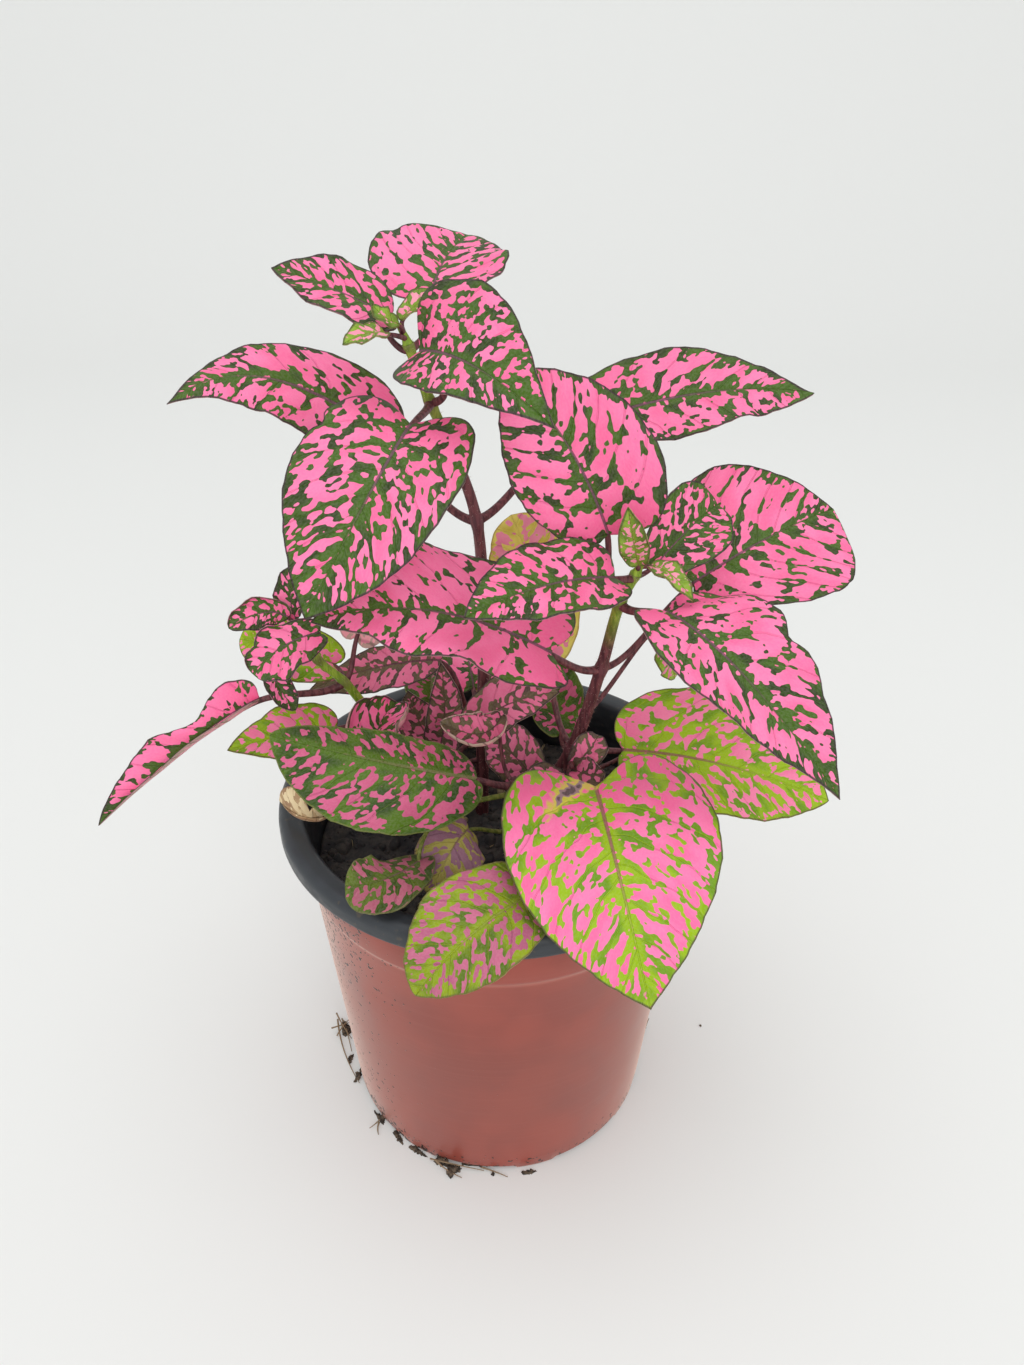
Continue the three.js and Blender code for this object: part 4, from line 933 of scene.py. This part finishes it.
BASE_OFFSET = 0.004  # keeps the outline a little open where the stalk joins it
CELL = 0.8  # size of the blade's mesh cells
FEWEST_ROWS = 12
FEWEST_COLUMNS = 6  # on each side of the rib
EVEN_ROWS = 0.35  # the rest of the rows' spacing draws them to both ends
MARGIN_COLUMN = 0.985  # a column of points close inside each margin
BLADE_HALF_THICKNESS = 0.27
MARGIN_HALF_THICKNESS = 0.11
MARGIN_THINNING = 2.2  # width of the strip that thins to the margin
LOBE_FALL = 9  # how fast a lobe dies away along the rib
TEETH = ((0.12, 6.3), (0.07, 2.9))  # depth and pitch of the faint teeth
CURL_START = 0.45  # share of the half width from which the margin curls
CURL_STEPS = 10
VEIN_ROWS = 7.0  # side veins of a middling leaf, which lie between the next two distances apart
CLOSEST_VEINS = 2.6
WIDEST_VEINS = 8.0
QUILT_HEIGHT = 0.34
GROOVE_DEPTH = 0.2
GROOVE_HALF = 0.8


def of_side(value, v):
    return np.where(v < 0, value[0], value[1]) if isinstance(value, tuple) else value


def rib_line(leaf):
    """The ends and control point of the rib's curve, and its length."""
    base, mid, tip = (np.array(leaf[key], float) for key in ("base", "mid", "tip"))
    control = 2 * mid - (base + tip) / 2
    line = bent(base, control, tip, np.linspace(0, 1, 60)[:, None])
    return base, control, tip, np.linalg.norm(np.diff(line, axis=0), axis=1).sum()


def unit(vectors):
    return vectors / np.linalg.norm(vectors, axis=-1, keepdims=True)


def blade_sheet(leaf, u, v, seed):
    """The middle sheet of a blade: u runs along the rib, v from one margin (-1) to the other (1)."""
    base, control, tip, length = rib_line(leaf)
    a, b = of_side(leaf.get("a", 0.55), v), of_side(leaf.get("b", 0.95), v)
    half = of_side(leaf["half"], v)
    # The outline: its half width at u, drawn back at the base by the lobe and forward by the sweep.
    x = u + BASE_OFFSET
    widest = a / (a + b)
    share = (x**a * (1 - u) ** b) / (widest**a * (1 - widest) ** b)
    pull = (np.sqrt(x) * np.exp(-LOBE_FALL * u)) / (math.sqrt(1 / (2 * LOBE_FALL)) * math.exp(-0.5))
    sweep, lobe = of_side(leaf.get("sweep", 0.3), v), of_side(leaf.get("lobe", 0.25), v)
    shift = sweep * np.sin(np.pi * u) - lobe * pull
    along = u + (np.abs(v) ** 1.3 * shift * half) / length
    size = np.minimum(1, half * share / 6)  # under 1 where the blade is narrow
    toothed = sum(depth * np.sin(2 * np.pi * u * length / pitch + seed) for depth, pitch in TEETH)
    uneven = 1 + 0.025 * np.sin(7.3 * u + 2 * seed + (v > 0)) + toothed * size / np.maximum(half * share, 1)
    for side, place, depth, width in leaf.get("dents", []):
        dent = depth * size * np.exp(-(((u - place) / width) ** 2))
        uneven = uneven - np.where(v * side > 0, dent, 0) / np.maximum(half * share, 1)
    distance = np.abs(v) * share * half * uneven
    # The place on the rib, and the directions along it, across it and up from the blade.
    held = np.clip(along, 0, 1)[..., None]
    slope = 2 * (1 - held) * (control - base) + 2 * held * (tip - control)
    point = bent(base, control, tip, held) + slope * (along[..., None] - held)
    forward = unit(slope)
    across = unit(np.cross(forward, unit(np.array(leaf["faces"], float))))
    up = np.cross(across, forward)
    # The way out from the rib leans by the fold, and by the curl from some way out.
    fold, curl = np.radians(of_side(leaf.get("fold", 15), v)), np.radians(of_side(leaf.get("curl", 0), v))
    sideways, raised = 0, 0
    for step in (np.arange(CURL_STEPS) + 0.5) / CURL_STEPS:
        lean = fold + curl * np.clip((step * np.abs(v) - CURL_START) / (1 - CURL_START), 0, 1) ** 1.5
        sideways = sideways + np.cos(lean) / CURL_STEPS
        raised = raised + np.sin(lean) / CURL_STEPS
    # Fine relief: waves of the margin, quilting between the side veins and a groove over the rib.
    wave = leaf.get("wave", 0.6) * v * v * share * np.sin(5 * np.pi * u + np.where(v < 0, 1.7, 0))
    crimp = leaf.get("crimp", 0.12) * v**4 * size * np.sin(11 * np.pi * u + seed + np.where(v < 0, 2.2, 0))
    spacing = min(WIDEST_VEINS, max(CLOSEST_VEINS, length / VEIN_ROWS))
    origin = u * length - (0.3 + 0.4 * u) * distance - 0.01 * distance**2
    row = origin / spacing + np.where(v < 0, 0.5, 0.0)
    margin = (1 - np.abs(v)) * share * half
    quilted = QUILT_HEIGHT * (np.abs(np.sin(np.pi * (row - 0.5))) ** 0.8 - 0.62)
    quilted = quilted * np.minimum(1, distance / 2.5) * np.minimum(1, margin / 1.5) * min(1, length / 25)
    groove = -GROOVE_DEPTH * np.exp(-((distance / GROOVE_HALF) ** 2)) * min(1, length / 30)
    lift = distance * raised + wave + crimp + quilted + groove
    point = point + across * (np.sign(v) * distance * sideways)[..., None] + up * lift[..., None]
    return dict(point=point, up=up, forward=forward, origin=origin, distance=distance, margin=margin)


def blade_mesh(leaf, seed):
    """A closed thin blade: points, faces and, for each point, its vein place and its spot on the leaf."""
    length = rib_line(leaf)[3]
    rows = int(max(FEWEST_ROWS, round(length / CELL)))
    columns = 2 * int(max(FEWEST_COLUMNS, round(float(np.max(leaf["half"])) / CELL)))
    even = np.linspace(0, 1, rows + 1)
    u = EVEN_ROWS * even + (1 - EVEN_ROWS) * (0.5 - 0.5 * np.cos(np.pi * even))
    v = np.insert(np.linspace(-1, 1, columns + 1), [1, columns], [-MARGIN_COLUMN, MARGIN_COLUMN])
    columns += 2
    grid_u, grid_v = np.meshgrid(u, v, indexing="ij")
    sheet = blade_sheet(leaf, grid_u, grid_v, seed)
    point = sheet["point"]
    point[-1] = point[-1, columns // 2]
    normal = np.cross(np.gradient(point, axis=1), np.gradient(point, axis=0))
    normal[-1] = normal[-2, columns // 2]
    normal = unit(normal)
    inward = np.clip(sheet["margin"] / MARGIN_THINNING, 0, 1)[..., None]
    thick = MARGIN_HALF_THICKNESS + (BLADE_HALF_THICKNESS - MARGIN_HALF_THICKNESS) * inward
    upper = point + normal * thick
    lower = point - normal * thick
    count = (rows + 1) * (columns + 1)
    index = np.arange(count).reshape(rows + 1, columns + 1)
    index[-1] = index[-1, 0]
    faces = []
    for i in range(rows):
        for j in range(columns):
            corners = [index[i, j], index[i, j + 1], index[i + 1, j + 1], index[i + 1, j]]
            corners = list(dict.fromkeys(corners))
            faces.append(corners)
            faces.append([c + count for c in reversed(corners)])
        for j, way in ((0, 1), (columns, -1)):
            strip = [index[i, j], index[i + 1, j], index[i + 1, j] + count, index[i, j] + count]
            faces.append(strip[::way])
    for j in range(columns):
        faces.append([index[0, j + 1], index[0, j], index[0, j] + count, index[0, j + 1] + count])
    signed = sheet["distance"] * np.where(grid_v < 0, -1, 1)
    place = np.stack([sheet["origin"], signed, np.full_like(signed, seed * 7.0)], -1).reshape(-1, 3)
    spots = [np.stack([sheet["margin"], grid_u, np.full_like(signed, under)], -1).reshape(-1, 3)
             for under in (0.0, 1.0)]
    points = np.concatenate([upper.reshape(-1, 3), lower.reshape(-1, 3)])
    return points, faces, np.concatenate([place, place]), np.concatenate(spots)


def way_out(point, direction, target):
    """The way from a node towards a point, square to the stem."""
    out = np.array(target, float) - point
    return unit(out - direction * np.dot(out, direction))


STALK_SIDES = 12
STALK_STEPS = 26
STALK_TAPER = 0.3
STALK_RADIUS = 0.34  # to which a share of the blade's length is added
STALK_GROWTH = 0.0125
THICKEST_STALK = 0.9
THINNEST_STALK = 0.5
STALK_PULL = 0.3  # how far the stalk keeps its first and last direction, as a share of its length
SWOLLEN_FOOT = 0.22
FOOT_LENGTH = 1.2
RIB_REACH = 0.93  # share of the blade that its rib runs under
RIB_STEPS = 40
RIB_START = 3.2  # where along the blade the stalk has become the rib
RIB_TIP_RADIUS = 0.12


def stalk_mesh(leaf, root, out, inset, seed):
    """The stalk from its node to the base of the blade, which runs on under the blade as its rib."""
    length = rib_line(leaf)[3]
    under = np.linspace(0, RIB_REACH, RIB_STEPS)
    middle = blade_sheet(leaf, under, np.zeros(RIB_STEPS), seed)
    base, forward, normal = middle["point"][0], middle["forward"][0], middle["up"][0]
    thick = min(THICKEST_STALK, max(THINNEST_STALK, STALK_RADIUS + STALK_GROWTH * length))
    slim = (1 - STALK_TAPER) * thick
    reach = np.linalg.norm(base - root)
    start = root + out * inset
    leave = start + out * STALK_PULL * reach
    bend = np.array(leaf["via"], float) if "via" in leaf else base - forward * STALK_PULL * reach
    join = base + forward * min(2, 0.1 * length) - normal * (slim - 0.12)
    t = np.linspace(0, 1, STALK_STEPS)[:, None]
    line = (1 - t) ** 3 * start + 3 * t * (1 - t) ** 2 * leave + 3 * t**2 * (1 - t) * bend + t**3 * join
    swollen = SWOLLEN_FOOT * np.exp(-reach * t[:, 0] / FOOT_LENGTH)
    radii = thick * (1 - STALK_TAPER * t[:, 0]) * (1 + swollen)
    kept = under * length > RIB_START
    rib_radii = slim + (RIB_TIP_RADIUS - slim) * (under[kept] / RIB_REACH) ** 0.8
    rib = middle["point"][kept] - middle["up"][kept] * (rib_radii - 0.1)[:, None]
    return rod(np.concatenate([line, rib]), np.concatenate([radii, rib_radii]), STALK_SIDES)


BLOTCH_WIDTH = 2.25  # across the side veins, for a patch of 1
BLOTCH_LENGTH = 2.7  # along them
BLOTCH_EDGE = 0.008  # half the level over which green turns pink
PINK_LEVEL = 0.475
USUAL_COVER = 0.45  # share of pink that PINK_LEVEL suits
GREEN_RIB = 0.12  # how fast the green band beside the rib widens


def read_vector(material, name):
    """The three numbers of a vector that a piece carries at each of its points."""
    return numbers_of(add_node(material.node_tree, "ShaderNodeAttribute", attribute_name=name)[1])


def leaf_finish(name, colours, roughness=0.46, scar=None):
    """The skin of a leaf. The pattern follows the veins: its place is read from the leaf's own mesh."""
    light_pink, deep_pink, dark_green, light_green, rib, edge_line, pale = (paint(*c) for c in colours)
    material = new_material(name + "_leaf", specular_ior_level=0.16)
    origin, signed, seed = read_vector(material, "vein_place")
    margin, along, under = read_vector(material, "leaf_spot")
    cover, patch, length = read_vector(material, "leaf_tone")
    side = maths("SIGN", signed)
    distance = abs(signed)
    up_vein = origin * 0.48 + distance * 1.14

    def on_leaf(across, along_vein, offset):
        """A place for noise: steps across the side veins and along them, apart on the leaf's two sides."""
        return add_node(material.node_tree, "ShaderNodeCombineXYZ", {
            0: origin / across + side * offset, 1: up_vein / along_vein, 2: seed})[0]

    # The splashes: broad blotches, roughened by finer ones, more so by the margin and the rib.
    blotch = grain(on_leaf(patch * BLOTCH_WIDTH, patch * BLOTCH_LENGTH, 23.0), 1.0, 0.8, 0.5, 0.3)
    ragged = grain(on_leaf(1.25, 1.4, 11.0), 1.0, 0.2)
    dots = grain(on_leaf(0.7, 0.75, 31.0), 1.0, 0.2)
    near_margin = ramp(margin, 0.6, 3.4, 1, 0)
    near_rib = ramp(distance, 1.0, 4.0, 0.5, 0)
    field = blotch + (ragged - 0.5) * (maths("MAXIMUM", near_margin, near_rib) * 0.4 + 0.44)
    field = field + (dots - 0.5) * (near_margin * 0.3 + 0.1)
    # Bands that stay green: along the rib, along the side veins, at the margin and at the tip.
    off_rib = distance - along * (1 - along) * length * GREEN_RIB
    rib_green = ramp(off_rib, -0.5, 1.2, 0.17, 0)
    spacing = maths("MINIMUM", maths("MAXIMUM", length / VEIN_ROWS, CLOSEST_VEINS), WIDEST_VEINS)
    wander = (grain(on_leaf(9.0, 7.0, 5.0), 1.0, 1) - 0.5) * 0.5
    row = origin / spacing + (1 - side) * 0.25 + wander
    off_vein = abs(maths("FRACT", row) - 0.5) * spacing
    inner = margin / (distance + margin + 0.1)
    vein_half = inner**3.0 * (length * 0.04)
    vein_green = ramp(off_vein - vein_half, -0.1, 0.65, 0.15, 0)
    vein_green = vein_green + ramp(off_vein / spacing, 0.05, 0.42, 0.05, 0)
    vein_green = vein_green * (inner * 0.7 + 0.3)
    outer_green = ramp(margin, 0.4, 1.4, 0.2, 0) + ramp(along, 0.84, 1.0, 0, 0.1)
    bands = maths("MAXIMUM", rib_green, vein_green) * (cover * 1.4 + 0.3) + outer_green
    level = (cover - USUAL_COVER) * 0.42 + (field - bands - PINK_LEVEL)
    pink_share = ramp(level, -BLOTCH_EDGE, BLOTCH_EDGE)
    # Colours within the pink and within the green.
    cloud = grain(on_leaf(6.0, 9.0, 3.0), 1.0, 2)
    vein_line = ramp(off_vein, 0.05, 0.28, 1, 0)
    deeper = maths("MAXIMUM", ramp(cloud, 0.35, 0.7, 0.0, 0.6), ramp(along, 0.0, 0.3, 0.75, 0))
    lighter = maths("MAXIMUM", ramp(cloud, 0.38, 0.6), ramp(off_rib, -0.4, 1.2, 0.9, 0))
    lighter = maths("MAXIMUM", lighter, ramp(along, 0.9, 0.98))
    pink = mixed(vein_line * 0.35, mixed(deeper, light_pink, deep_pink), deep_pink)
    green = mixed(vein_line * 0.5, mixed(lighter, dark_green, light_green), light_green)
    colour = mixed(pink_share, green, pink)
    # The rib is purple at its foot and fades into the green; a thin dark line runs round the margin.
    on_rib = ramp(distance - length * (along * -0.0062 + 0.0072), 0.0, 0.16, 1, 0)
    colour = mixed(on_rib * 0.85, colour, mixed(ramp(along, 0.3, 0.8), rib, light_green))
    colour = mixed(ramp(margin, 0.16, 0.42, 0.95, 0), colour, edge_line)
    if scar:
        # An old wound beside the rib: dry brown skin with a pale yellow rim.
        across_scar = signed - scar[1]
        slanted = across_scar * -0.35 + (origin - scar[0])
        reach = add_node(material.node_tree, "ShaderNodeCombineXYZ", {
            0: slanted / 1.3, 1: across_scar / 3.6})[0]
        wound = add_node(material.node_tree, "ShaderNodeVectorMath", {0: reach}, operation="LENGTH")[1]
        wound = (ragged - 0.5) * 2.2 + wound
        colour = mixed(ramp(wound, 1.3, 1.9, 0.9, 0), colour, paint(206, 196, 70))
        colour = mixed(ramp(wound, 0.75, 0.95, 1, 0), colour, paint(150, 122, 128))
        colour = mixed(ramp(wound, 0.3, 0.5, 1, 0), colour, paint(92, 74, 78))
    # A faint bloom, and the dull underside with its veins.
    faint = grain(on_leaf(0.5, 0.5, 1.0), 1.0, 2)
    colour = mixed(ramp(faint, 0.3, 0.7, 0, 0.05), colour, paint(255, 235, 235))
    colour = mixed(under * 0.62, colour, mixed(vein_line * 0.6, pale, rib))
    height = faint * 0.5 + vein_line * -0.8 + on_rib * -0.8
    dress(material, base_color=colour, roughness=ramp(faint, 0.3, 0.7, roughness - 0.08, roughness + 0.1),
          normal=relief(height, 0.00024, 0.8))
    return material


# The colours of each finish: light and deep pink, dark and light green, the rib, the line round the
# margin and the underside. A scar's place is in millimetres along and across the leaf.
FINISHES = {
    "pink": dict(colours=[(252, 126, 175), (240, 88, 143), (43, 61, 18), (66, 99, 18), (104, 66, 84),
                          (52, 40, 40), (222, 176, 170)]),
    "green": dict(colours=[(208, 96, 136), (184, 76, 112), (44, 72, 8), (78, 110, 10), (112, 112, 66),
                           (104, 112, 52), (170, 158, 120)]),
    "lime": dict(colours=[(250, 136, 176), (232, 104, 148), (106, 148, 3), (152, 186, 4), (142, 92, 80),
                          (96, 92, 38), (196, 190, 112)]),
    "faded": dict(colours=[(166, 116, 138), (142, 96, 118), (158, 146, 64), (188, 176, 88), (140, 104, 96),
                           (140, 120, 84), (196, 170, 140)]),
    "shaded": dict(colours=[(230, 118, 156), (204, 86, 126), (78, 60, 52), (102, 90, 62), (92, 50, 62),
                            (60, 44, 44), (222, 190, 172)]),
    "young": dict(colours=[(244, 158, 178), (232, 118, 150), (86, 120, 28), (136, 168, 48), (140, 150, 60),
                           (84, 96, 36), (206, 196, 130)]),
    "dusty": dict(colours=[(240, 150, 176), (222, 110, 146), (86, 104, 40), (132, 146, 66), (120, 96, 84),
                           (84, 80, 50), (232, 206, 184)]),
    "muted": dict(colours=[(178, 94, 116), (148, 74, 94), (52, 74, 12), (86, 106, 20), (112, 78, 76),
                           (96, 100, 50), (160, 146, 110)]),
    "muted_lime": dict(colours=[(194, 104, 134), (160, 80, 112), (82, 108, 8), (140, 160, 10),
                                (140, 150, 50), (106, 104, 40), (190, 180, 110)]),
    "yellow": dict(colours=[(246, 154, 178), (232, 122, 158), (202, 190, 66), (232, 220, 104),
                            (206, 160, 110), (180, 160, 80), (226, 204, 140)]),
    "scarred": dict(scar=(1.5, 5.5), colours=[
        (252, 125, 177), (240, 88, 146), (106, 148, 3), (150, 184, 4), (142, 84, 84), (84, 84, 40),
        (196, 190, 112)]),
    "dry": dict(roughness=0.7, colours=[
        (236, 216, 174), (212, 182, 136), (150, 112, 82), (196, 164, 122), (122, 90, 84), (150, 116, 88),
        (232, 212, 172)]),
}
leaf_paints = {name: leaf_finish(name, **finish) for name, finish in FINISHES.items()}
# The slot, the usual share of pink and the usual size of blotch of each look.
LOOKS = {
    "pink": ("leaf_pink", 0.60, 1.0), "green": ("leaf_green", 0.42, 0.9), "lime": ("leaf_lime", 0.58, 1.0),
    "faded": ("leaf_faded", 0.55, 1.3), "shaded": ("leaf_shade", 0.66, 0.8), "dry": ("leaf_dry", 0.7, 0.7),
}


def leaf_parts(leaf, root, out, inset, seed):
    """A leaf's blade and stalk as one set of points, faces, finishes and numbers for its materials."""
    blade, blade_faces, places, spots = blade_mesh(leaf, seed)
    stalk, stalk_faces, _ = stalk_mesh(leaf, root, out, inset, seed)
    count = len(blade) + len(stalk)
    _, cover, patch = LOOKS[leaf["look"]]
    tone = (leaf.get("cover", cover), leaf.get("patch", patch), rib_line(leaf)[3])
    blank = np.zeros((len(stalk), 3))
    return dict(
        points=np.concatenate([blade, stalk]),
        faces=blade_faces + [[c + len(blade) for c in face] for face in stalk_faces],
        finish=[0] * len(blade_faces) + [1] * len(stalk_faces),
        vein_place=np.concatenate([places, blank]), leaf_spot=np.concatenate([spots, blank]),
        leaf_tone=np.tile(tone, (count, 1)), youth=np.full(count, leaf.get("youth", 0.0)))


def grow_leaf(name, parts_list, node_name, look, skin=None):
    """One piece from the parts of one or more leaves, standing for a node of the model."""
    points, faces, finish = [], [], []
    for parts in parts_list:
        first = sum(len(p) for p in points)
        points.append(parts["points"])
        faces += [[c + first for c in face] for face in parts["faces"]]
        finish += parts["finish"]
    piece = new_piece(name, np.concatenate(points), faces, [leaf_paints[skin or look], stem_paint])
    piece.data.polygons.foreach_set("material_index", np.array(finish, np.int32))
    for key in ("vein_place", "leaf_spot", "leaf_tone"):
        vectors = np.concatenate([parts[key] for parts in parts_list])
        attribute = piece.data.attributes.new(key, "FLOAT_VECTOR", "POINT")
        attribute.data.foreach_set("vector", np.asarray(vectors, np.float32).ravel())
    give_number(piece, "youth", np.concatenate([parts["youth"] for parts in parts_list]))
    give_number(piece, "knot", np.zeros(len(piece.data.vertices)))
    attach(piece, "root")
    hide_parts(node_name)


TOP_DROP = 1.2  # the last leaves of a stem leave it this far below its end
STALK_INSET = 0.4  # share of the stem's radius at which a stalk begins
for order, (name, leaf) in enumerate(LEAVES.items()):
    if leaf["stem"] not in STEMS:
        continue
    point, direction, radius = stem_node(leaf["stem"], leaf["node"])
    out = way_out(point, direction, leaf.get("via", leaf["base"]))
    if leaf["node"] == len(STEMS[leaf["stem"]]["points"]) - 1:
        point = point - direction * TOP_DROP
    parts = leaf_parts(leaf, point, out, STALK_INSET * radius, order)
    grow_leaf(name + "_leaf", [parts], "leaf_" + name, leaf["look"], leaf.get("skin"))

# Shoot tips
# Each shoot ends in a short soft core with its youngest leaves, still narrow, pale and partly folded,
# round a small green bud.
CORES = {
    "shoot_tip_tall": dict(piece="tip_leaves_tall", stem="tall", node=7, to=(-16.8, -3.6, 193.4),
                           radius=1.0, look="pink", skin="young"),
    "shoot_tip_right": dict(piece="tip_leaves_right", stem="right", node=6, to=(28.3, -12.6, 153.5),
                            radius=1.1, look="pink", skin="young"),
    "shoot_tip_left": dict(piece="tip_leaves_left", stem="left", node=6, to=(-43, -2, 134.5), radius=0.9,
                           look="pink"),
    "side_shoot": dict(piece="side_shoot_leaves", stem="right", node=3, to=(16.5, -8, 100.5), radius=1.1,
                       sideways=True, look="shaded"),
}
CORE_STEPS = 17
CORE_TAPER = 0.5
CORE_INSET = 0.5  # share of the stem's radius at which a side shoot starts
TIP_LEAF_START = 0.5  # share of the core at which its first leaf starts
TIP_LEAF_SPACING = 0.15
FIRST_TIP_SEED = 50
SEEDS_FOR_TIP = 5
for order, (name, core) in enumerate(CORES.items()):
    point, direction, radius = stem_node(core["stem"], core["node"])
    sideways = core.get("sideways", False)
    out = way_out(point, direction, core["to"]) if sideways else direction
    start = point + out * (radius * CORE_INSET if sideways else 0)
    line = curve_line([start, start + out, core["to"]], CORE_STEPS)[0]
    radii = core["radius"] * (1 - CORE_TAPER * np.linspace(0, 1, CORE_STEPS))
    points, faces, _ = rod(line, radii, STALK_SIDES)
    blank = np.zeros((len(points), 3))
    parts_list = [dict(
        points=points, faces=faces, finish=[1] * len(faces), vein_place=blank, leaf_spot=blank,
        leaf_tone=blank, youth=np.full(len(points), 0.0 if sideways else 1.0))]
    own = [leaf for leaf in LEAVES.values() if leaf["stem"] == name]
    for count, leaf in enumerate(own):
        inside = line[int((TIP_LEAF_START + TIP_LEAF_SPACING * count) * (CORE_STEPS - 1))]
        way = unit(np.array(leaf["base"], float) - inside)
        seed = FIRST_TIP_SEED + SEEDS_FOR_TIP * order + count
        parts_list.append(leaf_parts(leaf, inside, way, 0, seed))
    grow_leaf(core["piece"], parts_list, name, core["look"], core.get("skin"))
